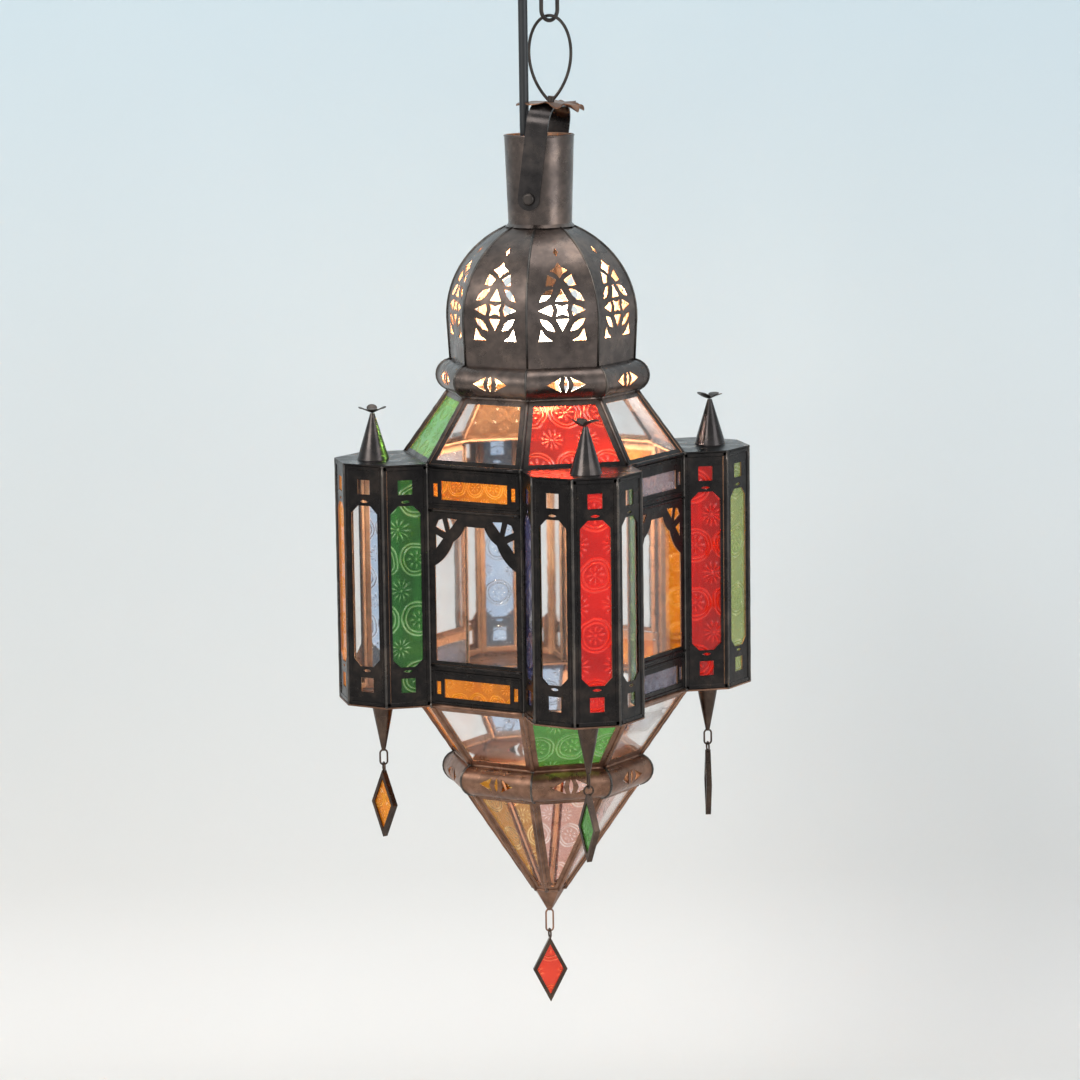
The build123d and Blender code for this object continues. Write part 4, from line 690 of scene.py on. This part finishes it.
# Solder seams and rolled edges over the joints of the sheets
SEAM = 0.75 * MM
HIP = 1.35 * MM
CONE_HIP = HIP * 0.9
HIP_SWELL = 0.08
HIP_POINTS = 14
CONE_HIP_POINTS = 16
RIM = 1.25 * MM
CAP_RIM = RIM * 0.8
RIM_SWELL = 0.06
RIM_POINTS = 8
DROP_SHARE = 1.55
DOME_POINTS = 16
COLLAR_POINTS = 11
dome_line = arc_through(
    (DOME_MOUTH, DOME_TOP),
    (DOME_SHOULDER, DOME_TOP - DOME_SHOULDER_DROP),
    (DOME_WAIST, DOME_TOP - DOME_WAIST_DROP),
    DOME_POINTS,
)
dome_line.append((DOME_FOOT_APOTHEM, DOME_FOOT))
collar_lines = []
for top, foot in ((DOME_FOOT, COLLAR_FOOT), (LOWER_COLLAR_TOP, LOWER_COLLAR_FOOT)):
    bulge = (COLLAR_OUTSIDE, (top + foot) / 2)
    collar_lines.append(arc_through((COLLAR_APOTHEM, top), bulge, (COLLAR_APOTHEM, foot), COLLAR_POINTS))
dome_seams = bmesh.new()
collar_seams = bmesh.new()
hip_beads = bmesh.new()
lower_beads = bmesh.new()
solder_drops = bmesh.new()
ROOF_EDGE = (ROOF_APOTHEM, COLLAR_FOOT)
BODY_TOP_EDGE = (BODY_APOTHEM, BODY_TOP)
BODY_FOOT_EDGE = (BODY_APOTHEM, BODY_FOOT)
FUNNEL_EDGE = (ROOF_APOTHEM, LOWER_COLLAR_TOP)
CONE_EDGE = (CONE_APOTHEM, LOWER_COLLAR_FOOT)
CAP_EDGE = (CAP_APOTHEM, CONE_FOOT)
for side in range(SIDES):
    add_tube(dome_seams, [corner(apothem, level, side) for apothem, level in dome_line], SEAM)
    for line in collar_lines:
        add_tube(collar_seams, [corner(apothem, level, side) for apothem, level in line], SEAM)
    for bm, upper, lower, count, radius in (
        (hip_beads, ROOF_EDGE, BODY_TOP_EDGE, HIP_POINTS, HIP),
        (lower_beads, BODY_FOOT_EDGE, FUNNEL_EDGE, HIP_POINTS, HIP),
        (lower_beads, CONE_EDGE, CAP_EDGE, CONE_HIP_POINTS, CONE_HIP),
    ):
        add_tube(bm, *run(corner(*upper, side), corner(*lower, side), count, radius, HIP_SWELL))
    for bm, edge, radius in (
        (hip_beads, ROOF_EDGE, RIM),
        (hip_beads, BODY_TOP_EDGE, RIM),
        (lower_beads, BODY_FOOT_EDGE, RIM),
        (lower_beads, FUNNEL_EDGE, RIM),
        (lower_beads, CONE_EDGE, RIM),
        (lower_beads, CAP_EDGE, CAP_RIM),
    ):
        add_tube(bm, *run(corner(*edge, side), corner(*edge, side + 1), RIM_POINTS, radius, RIM_SWELL))
        add_blob(solder_drops, corner(*edge, side), radius * DROP_SHARE)
add_piece("dome_seams", dome_seams, SOLDER, "lantern")
add_piece("collar_seams", collar_seams, SOLDER, "lantern")
add_piece("hip_beads", hip_beads, BLACKENED, "lantern")
add_piece("lower_beads", lower_beads, BRONZED, "lantern")
add_piece("solder_drops", solder_drops, SOLDER, "lantern")

# Rolled rim of the neck
NECK_ROLL = 0.75 * MM
NECK_ROLL_INSET = 0.3 * MM
NECK_ROLL_SIDES = 8
NECK_ROLL_STEP = 8
neck_rim = bmesh.new()
rim_radius = NECK_RADIUS - NECK_ROLL_INSET
rim_points = [direction(turn) * rim_radius + upright(NECK_RIM) for turn in range(0, 361, NECK_ROLL_STEP)]
add_tube(neck_rim, rim_points, NECK_ROLL, NECK_ROLL_SIDES)
add_piece("neck_rim", neck_rim, BLACKENED, "lantern")

# Bays: folded edges down every corner, raised borders around every face, came strips around every pane
BAY_FACE_TURNS = (-90.0, -45.0, 0.0, 45.0, 90.0)
BAY_CORNER_TURNS = (-112.5, -67.5, -22.5, 22.5, 67.5, 112.5)
BAY_EDGE = 0.95 * MM
BAY_EDGE_SWELL = 0.07
BAY_EDGE_POINTS = 24
BAY_EDGE_SIDES = 8
BAY_EDGE_END = 1.2 * MM
BORDER = 2.9 * MM
PROUD = 0.55 * MM
FACE_WIDTH = 2 * BAY_HALF * tan(HALF)
CAME = 3.4 * MM
CAME_HALF_DEPTH = 0.45 * MM
PANE_BACK = 2.4 * MM
PANE_INSET = 1.6 * MM
INNER_HALF = BAY_HALF - PANE_BACK - CAME_HALF_DEPTH
INNER_WIDTH = 2 * (INNER_HALF - CAME_HALF_DEPTH) * tan(HALF)


def add_frame(bm, face, normal, along, outline, width, depth, ends):
    """Four strips around a face: two upright, and two level ones that stop short of its corners by ends."""
    face_width, foot, top = outline
    for edge in (-1, 1):
        place = face + along * edge * (face_width - width) / 2
        add_bar(bm, place + upright(foot), place + upright(top), normal, width, depth)
    for level in (foot + width / 2, top - width / 2):
        place = face + upright(level)
        reach = along * (face_width / 2 - ends)
        add_bar(bm, place - reach, place + reach, normal, width, depth)


bay_edges = bmesh.new()
bay_borders = bmesh.new()
came_strips = bmesh.new()
border_outline = (FACE_WIDTH, BODY_FOOT, BODY_TOP)
came_outline = (INNER_WIDTH, BODY_FOOT + PANE_INSET, BODY_TOP - PANE_INSET)
for side in range(0, SIDES, 2):
    middle = direction(side * SIDE_TURN) * (BAY_OUTSIDE - BAY_HALF)
    for turn in BAY_CORNER_TURNS:
        place = middle + direction(side * SIDE_TURN + turn) * (BAY_HALF / cos(HALF))
        ends = [place + upright(BODY_FOOT), place + upright(BODY_TOP)]
        add_tube(bay_edges, *run(*ends, BAY_EDGE_POINTS, BAY_EDGE, BAY_EDGE_SWELL), BAY_EDGE_SIDES)
        for end in ends:
            add_blob(bay_edges, end, BAY_EDGE_END)
    for turn in BAY_FACE_TURNS:
        normal = direction(side * SIDE_TURN + turn)
        along = Vector((-normal.y, normal.x, 0))
        add_frame(bay_borders, middle + normal * BAY_HALF, normal, along, border_outline, BORDER, PROUD, 0.0)
        inside = middle + normal * INNER_HALF
        add_frame(came_strips, inside, -normal, along, came_outline, CAME, CAME_HALF_DEPTH, CAME)
add_piece("bay_edges", bay_edges, SOLDER, "lantern")
add_piece("bay_borders", bay_borders, BLACKENED, "lantern", smooth=False)
add_piece("came_strips", came_strips, INNER_TRIM, "lantern", smooth=False)

# Window sides: raised borders around the strips, and a folded ridge over the joint above and below each arch
RIDGE = 1.15 * MM
RIDGE_SWELL = 0.06
RIDGE_POINTS = 16
RIDGE_LIFT = 0.3 * MM
RIDGE_END = 0.8 * MM
DOOR_RIDGE = RIDGE * 0.8
DOOR_RIDGE_LIFT = 1.4 * MM
DOOR_RIDGE_HINGE_END = 9.0 * MM
DOOR_RIDGE_FREE_END = 4.0 * MM
LEVEL_BORDER = 2.0 * MM
LEVEL_BORDER_END = 1.0 * MM
LEVEL_BORDER_EDGE = 2.4 * MM
LEVEL_BORDER_GAP = 4.2 * MM
UPRIGHT_BORDER = 2.4 * MM
UPRIGHT_BORDER_EDGE = 2.2 * MM
UPRIGHT_BORDER_END = 1.4 * MM
UPRIGHT_BORDER_GAP = 3.2 * MM
HINGE_ROOM = 8.0 * MM
HINGE_GAP = 6.0 * MM
DOOR_SIDE = 1
STRIP_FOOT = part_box("door_panel")[1][2]
STRIP_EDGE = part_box("door_panel")[0][2]
HALF_SIDE = BODY_APOTHEM * tan(HALF)
window_borders = bmesh.new()
window_ridges = bmesh.new()
door_ridges = bmesh.new()
for side in range(1, SIDES, 2):
    normal = direction(side * SIDE_TURN)
    along = Vector((-normal.y, normal.x, 0))
    face = normal * BODY_APOTHEM
    reach = HALF_SIDE - LEVEL_BORDER_END
    for level, by_door in (
        (BODY_TOP - LEVEL_BORDER_EDGE, False),
        (STRIP_FOOT + LEVEL_BORDER_GAP, True),
        (STRIP_EDGE - LEVEL_BORDER_GAP, True),
        (BODY_FOOT + LEVEL_BORDER_EDGE, False),
    ):
        place = face + upright(level)
        cut = HINGE_ROOM if side == DOOR_SIDE and by_door else 0.0
        start = place - along * (reach - cut)
        add_bar(window_borders, start, place + along * reach, normal, LEVEL_BORDER, PROUD)
    for edge in (-1, 1):
        place = face + along * edge * (HALF_SIDE - UPRIGHT_BORDER_EDGE)
        gap = HINGE_GAP if side == DOOR_SIDE and edge == -1 else UPRIGHT_BORDER_GAP
        for low, high in (
            (STRIP_FOOT + gap, BODY_TOP - UPRIGHT_BORDER_END),
            (BODY_FOOT + UPRIGHT_BORDER_END, STRIP_EDGE - gap),
        ):
            start = place + upright(low)
            add_bar(window_borders, start, place + upright(high), normal, UPRIGHT_BORDER, PROUD)
    for level, inward in ((STRIP_FOOT, -1), (STRIP_EDGE, 1)):
        place = face + upright(level)
        if side == DOOR_SIDE:
            place = place + upright(inward * DOOR_RIDGE_LIFT)
            start = place - along * (HALF_SIDE - DOOR_RIDGE_HINGE_END)
            end = place + along * (HALF_SIDE - DOOR_RIDGE_FREE_END)
            add_tube(door_ridges, [start, end], DOOR_RIDGE)
        else:
            place = place + upright(-inward * RIDGE_LIFT)
            ends = along * (HALF_SIDE - RIDGE_END)
            add_tube(window_ridges, *run(place - ends, place + ends, RIDGE_POINTS, RIDGE, RIDGE_SWELL))
add_piece("window_borders", window_borders, BLACKENED, "lantern", smooth=False)
add_piece("window_ridges", window_ridges, BLACKENED, "lantern")
add_piece("door_ridges", door_ridges, BLACKENED, "door")

# Finial flowers: four petals bent up like wings, on the tip of each bay's cone
FINIAL_PETALS = 4
FINIAL_DISC = 2.6 * MM
FINIAL_REACH = 8.9 * MM
FINIAL_SHEET = 0.5 * MM
FINIAL_SEAT = 0.6 * MM
FINIAL_SLOPE = 0.4
FINIAL_WAVE = 2.3 * MM
FINIAL_TURN = 45.0
FINIAL_EXTRA_TURN = 9.0
FINIAL_SWAY = 0.6 * MM
FINIAL_EXTRA_SWAY = 0.1 * MM


def wing(angle, radius, sway):
    """Height of a finial's petals, which rise outwards and dip unevenly."""
    return FINIAL_SEAT + FINIAL_SLOPE * radius + sway * sin(radius / FINIAL_WAVE) * cos(angle)


finial_petals = bmesh.new()
for side in range(0, SIDES, 2):
    spot = direction(side * SIDE_TURN) * FINIAL_AT + upright(FINIAL_TIP)
    turn = radians(side * SIDE_TURN + FINIAL_TURN + FINIAL_EXTRA_TURN * side)
    sway = FINIAL_SWAY + FINIAL_EXTRA_SWAY * side
    add_flower(
        finial_petals,
        Matrix.Translation(spot) @ Matrix.Rotation(turn, 4, "Z"),
        FINIAL_PETALS,
        FINIAL_DISC,
        FINIAL_REACH,
        FINIAL_SHEET,
        lambda angle, radius: wing(angle, radius, sway),
    )
finial_piece = add_piece("finial_petals", finial_petals, WIRE, "lantern")
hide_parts("finial_flowers")

# Rosette: a crumpled sheet flower on the crown of the leaning bail
ROSETTE_PETALS = 8
ROSETTE_DISC = 16.2 * MM
ROSETTE_REACH = 22.0 * MM
ROSETTE_SHEET = 0.8 * MM
ROSETTE_SEAT = 1.1 * MM
ROSETTE_FLAT = 8.0 * MM
ROSETTE_LEVELLING = 0.1
ROSETTE_FALL = 0.2
CREASE = 1.3 * MM
CREASE_PHASE = 0.6
CREASE_SPAN = 12.0 * MM
CREASE_DEEP = 1.3
CREASE_SHALLOW = 0.4
swing_point = Vector(joints["lantern_swing"]["pos_m"])
across = Vector((swing_point.x, swing_point.y, 0)).normalized()
lean = asin(Vector((swing_point.x, swing_point.y)).length / BAIL_RISE)
crown_up = Vector((0, 0, 1)) * cos(lean) + across * sin(lean)
crown_across = across * cos(lean) - Vector((0, 0, 1)) * sin(lean)
crown_back = crown_up.cross(crown_across)
crown = Vector(joints["bail_tilt"]["pos_m"]) + crown_up * BAIL_RISE
crown_frame = Matrix.Translation(crown) @ Matrix((crown_across, crown_back, crown_up)).transposed().to_4x4()


def crumple(angle, radius):
    """Height of the rosette's sheet: level over the bail, its two sides bent down, its petals creased."""
    angle += ROSETTE_TURN
    beside = radius * cos(angle)
    over = max(0.0, abs(beside) - ROSETTE_FLAT)
    outer = (max(0.0, radius - ROSETTE_FLAT) / CREASE_SPAN) ** 2
    crease = CREASE * cos(ROSETTE_PETALS * angle - CREASE_PHASE) * outer
    crease *= CREASE_DEEP if beside > 0 else CREASE_SHALLOW
    return ROSETTE_SEAT + ROSETTE_LEVELLING * max(beside, -ROSETTE_FLAT) - ROSETTE_FALL * over + crease


rosette_sheet = bmesh.new()
rosette_frame = crown_frame @ Matrix.Rotation(ROSETTE_TURN, 4, "Z")
add_flower(rosette_sheet, rosette_frame, ROSETTE_PETALS, ROSETTE_DISC, ROSETTE_REACH, ROSETTE_SHEET, crumple)
rosette_piece = add_piece("rosette_sheet", rosette_sheet, COPPER, "hanger")
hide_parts("rosette")

# Camera, at the photograph's place: 1 pixel is 0.65 mm at the lantern's axis
IMAGE_SIZE = 1080
PIXEL = 0.65 * MM
FOCAL_PIXELS = 4000.0
SENSOR = 36.0
AZIMUTH = radians(-13.5)
PITCH = radians(8.74)
ROLL = radians(0.79)
AIM_RISE = 97.8 * MM
AIM_LEVEL = BODY_FOOT + AIM_RISE
AXIS_SHIFT_PIXELS = 4.5
distance = FOCAL_PIXELS * PIXEL
back = Vector((sin(AZIMUTH) * cos(PITCH), -cos(AZIMUTH) * cos(PITCH), sin(PITCH)))
right = Vector((cos(AZIMUTH), sin(AZIMUTH), 0))
up = back.cross(right)
aim = upright(AIM_LEVEL) - right * AXIS_SHIFT_PIXELS * PIXEL
camera_data = bpy.data.cameras.new("camera")
camera_data.sensor_width = SENSOR
camera_data.lens = SENSOR * FOCAL_PIXELS / IMAGE_SIZE
camera = bpy.data.objects.new("camera", camera_data)
rolled_right = right * cos(ROLL) - up * sin(ROLL)
rolled_up = up * cos(ROLL) + right * sin(ROLL)
camera_turn = Matrix((rolled_right, rolled_up, back)).transposed().to_4x4()
camera.matrix_world = Matrix.Translation(aim + back * distance) @ camera_turn
bpy.context.scene.collection.objects.link(camera)
bpy.context.scene.camera = camera

# Supply cable: one smooth line from the lampholder to the cord bush in the canopy
CABLE_DIAMETER = 6.0 * MM
CABLE_SIDES = 20
CABLE_ALONG = -5.3 * MM
CABLE_ASIDE = 14.0 * MM
CABLE_START_RUN = 22.0 * MM
CABLE_BELOW_RIM = 8.0 * MM
CABLE_ABOVE_RIM = 24.0 * MM
SPLINE_STEPS = 12
bail_along = Vector((cos(BAIL_TURN), sin(BAIL_TURN), 0))
bail_aside = Vector((sin(BAIL_TURN), -cos(BAIL_TURN), 0))
cable_side = bail_along * CABLE_ALONG + bail_aside * CABLE_ASIDE
grip_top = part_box("lampholder")[1][2]
bush_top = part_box("cord_bush")[1][2]
cable_points = [
    upright(grip_top),
    upright(grip_top + CABLE_START_RUN),
    cable_side + upright(NECK_RIM - CABLE_BELOW_RIM),
    cable_side + upright(NECK_RIM + CABLE_ABOVE_RIM),
    cable_side + upright(bush_top),
]
curve = bpy.data.curves.new("cable_line", "CURVE")
curve.dimensions = "3D"
curve.resolution_u = SPLINE_STEPS
spline = curve.splines.new("NURBS")
spline.points.add(len(cable_points) - 1)
for control, point in zip(spline.points, cable_points):
    control.co = (*point, 1.0)
spline.order_u = 3
spline.use_endpoint_u = True
line = bpy.data.objects.new("cable_line", curve)
bpy.context.scene.collection.objects.link(line)
bpy.context.view_layer.update()
sampled = bpy.data.meshes.new_from_object(line)
cable_path = [vertex.co.copy() for vertex in sampled.vertices]
bpy.data.objects.remove(line)
bpy.data.meshes.remove(sampled)
cable_mesh = bmesh.new()
add_tube(cable_mesh, cable_path, CABLE_DIAMETER / 2, CABLE_SIDES)
cable = add_piece("cable", cable_mesh, SHEATH, None)
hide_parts("supply_cable")
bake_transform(cable)

# Backdrop and floor, plain and pale, in one swept sheet
WALL_BEHIND = 0.42
WALL_HEIGHT = 3.0
FLOOR_LEVEL = -0.86
FLOOR_FRONT = 2.2
COVE = 0.12
COVE_STEPS = 8
STAGE_HALF = 2.6
# Wall tones by height: one pale paint, with painted light that makes it brighter and warmer towards the floor.
WALL_PAINT_AND_LIGHT = [(0.0, (0.76, 0.74, 0.71)), (0.45, (0.66, 0.69, 0.69)), (1.0, (0.5, 0.6, 0.645))]
WALL_ROUGHNESS = 0.9


def wall_finish(name):
    """Pale matt paint with painted light, brighter and warmer towards the floor and bluer above, that lets the
    view through from the wall's far side.
    """
    material, tree, shader = new_material(name)
    share = remapped(tree, object_axes(tree)["Z"], FLOOR_LEVEL, 0.0)
    tree.links.new(ramp(tree, share, WALL_PAINT_AND_LIGHT), shader.inputs["Base Color"])
    shader.inputs["Roughness"].default_value = WALL_ROUGHNESS
    far_side = node(tree, "ShaderNodeNewGeometry").outputs["Backfacing"]
    clear = node(tree, "ShaderNodeBsdfTransparent").outputs["BSDF"]
    seen = node(tree, "ShaderNodeMixShader", {0: far_side, 1: shader.outputs["BSDF"], 2: clear})
    tree.links.new(seen.outputs["Shader"], tree.nodes["Material Output"].inputs["Surface"])
    return material


def add_stage():
    """A pale wall behind the lantern that curves into the floor, square to the camera."""
    bm = bmesh.new()
    into = -Vector((back.x, back.y, 0)).normalized()
    profile = [(WALL_BEHIND, WALL_HEIGHT)]
    for step in range(COVE_STEPS + 1):
        angle = step * pi / 2 / COVE_STEPS
        profile.append((WALL_BEHIND - COVE * (1 - cos(angle)), FLOOR_LEVEL + COVE * (1 - sin(angle))))
    profile.append((-FLOOR_FRONT, FLOOR_LEVEL))
    rows = []
    for depth, level in profile:
        centre = into * depth + upright(level)
        rows.append([bm.verts.new(centre - right * STAGE_HALF), bm.verts.new(centre + right * STAGE_HALF)])
    for first, second in zip(rows, rows[1:]):
        bm.faces.new((first[0], second[0], second[1], first[1]))
    mesh = bpy.data.meshes.new("stage")
    bm.to_mesh(mesh)
    bm.free()
    for polygon in mesh.polygons:
        polygon.use_smooth = True
    mesh.materials.append(wall_finish("pale_wall"))
    made = bpy.data.objects.new("stage", mesh)
    bpy.context.scene.collection.objects.link(made)


add_stage()


# Lights: three soft studio lamps, the lantern's own lamp, and a pale world

def add_area(name, place, target, size, power, colour):
    """A soft area light aimed at a point."""
    data = bpy.data.lights.new(name, "AREA")
    data.shape = "DISK"
    data.size = size
    data.energy = power
    data.color = colour
    lamp = bpy.data.objects.new(name, data)
    lamp.location = place
    lamp.rotation_euler = (target - place).to_track_quat("-Z", "Y").to_euler()
    bpy.context.scene.collection.objects.link(lamp)


GLOW_COLOUR = (1.0, 0.82, 0.58)
GLOW_RADIUS = 24.0 * MM
GLOW_BELOW_LAMP = 32.0 * MM
GLOW_IN_DOME = 22.0 * MM
LAMP_POWER = 5.0
DOME_POWER = 4.0


def add_glow(name, power, level):
    """Warm light of the lamp, at a level of the lantern's axis."""
    data = bpy.data.lights.new(name, "POINT")
    data.energy = power
    data.color = GLOW_COLOUR
    data.shadow_soft_size = GLOW_RADIUS
    lamp = bpy.data.objects.new(name, data)
    lamp.location = upright(level)
    bpy.context.scene.collection.objects.link(lamp)


KEY_COLOUR = (1.0, 0.98, 0.95)
FILL_COLOUR = (0.92, 0.96, 1.0)
TOP_COLOUR = (1.0, 1.0, 1.0)
middle = upright(AIM_LEVEL)
key_place = middle + right * -1.5 + back * 1.7 + up * 1.0
fill_place = middle + right * 1.8 + back * 1.5 + up * 0.3
top_place = middle + back * 0.5 + up * 1.9
add_area("key", key_place, middle, size=1.4, power=34.0, colour=KEY_COLOUR)
add_area("fill", fill_place, middle, size=1.6, power=20.0, colour=FILL_COLOUR)
add_area("top", top_place, middle, size=1.6, power=18.0, colour=TOP_COLOUR)
add_glow("lamp_glow", LAMP_POWER, LAMP_LEVEL - GLOW_BELOW_LAMP)
add_glow("dome_glow", DOME_POWER, DOME_FOOT + GLOW_IN_DOME)

WORLD_LIGHT = (0.85, 0.92, 1.0, 1.0)
WORLD_STRENGTH = 0.45
WORLD_SHOWN = (0.6, 0.65, 0.67, 1.0)
world = bpy.data.worlds.new("studio")
bpy.context.scene.world = world
world.use_nodes = True
sky = world.node_tree
light = sky.nodes["Background"]
light.inputs["Color"].default_value = WORLD_LIGHT
light.inputs["Strength"].default_value = WORLD_STRENGTH
pale = node(sky, "ShaderNodeBackground", {"Color": WORLD_SHOWN, "Strength": 1.0})
rays = node(sky, "ShaderNodeLightPath").outputs
shown = math(sky, "MAXIMUM", rays["Is Camera Ray"], rays["Is Glossy Ray"])
shown = math(sky, "MAXIMUM", shown, rays["Is Transmission Ray"])
both = node(sky, "ShaderNodeMixShader", {0: shown, 1: light.outputs[0], 2: pale.outputs[0]})
sky.links.new(both.outputs["Shader"], sky.nodes["World Output"].inputs["Surface"])
bpy.context.scene.view_settings.view_transform = "Standard"
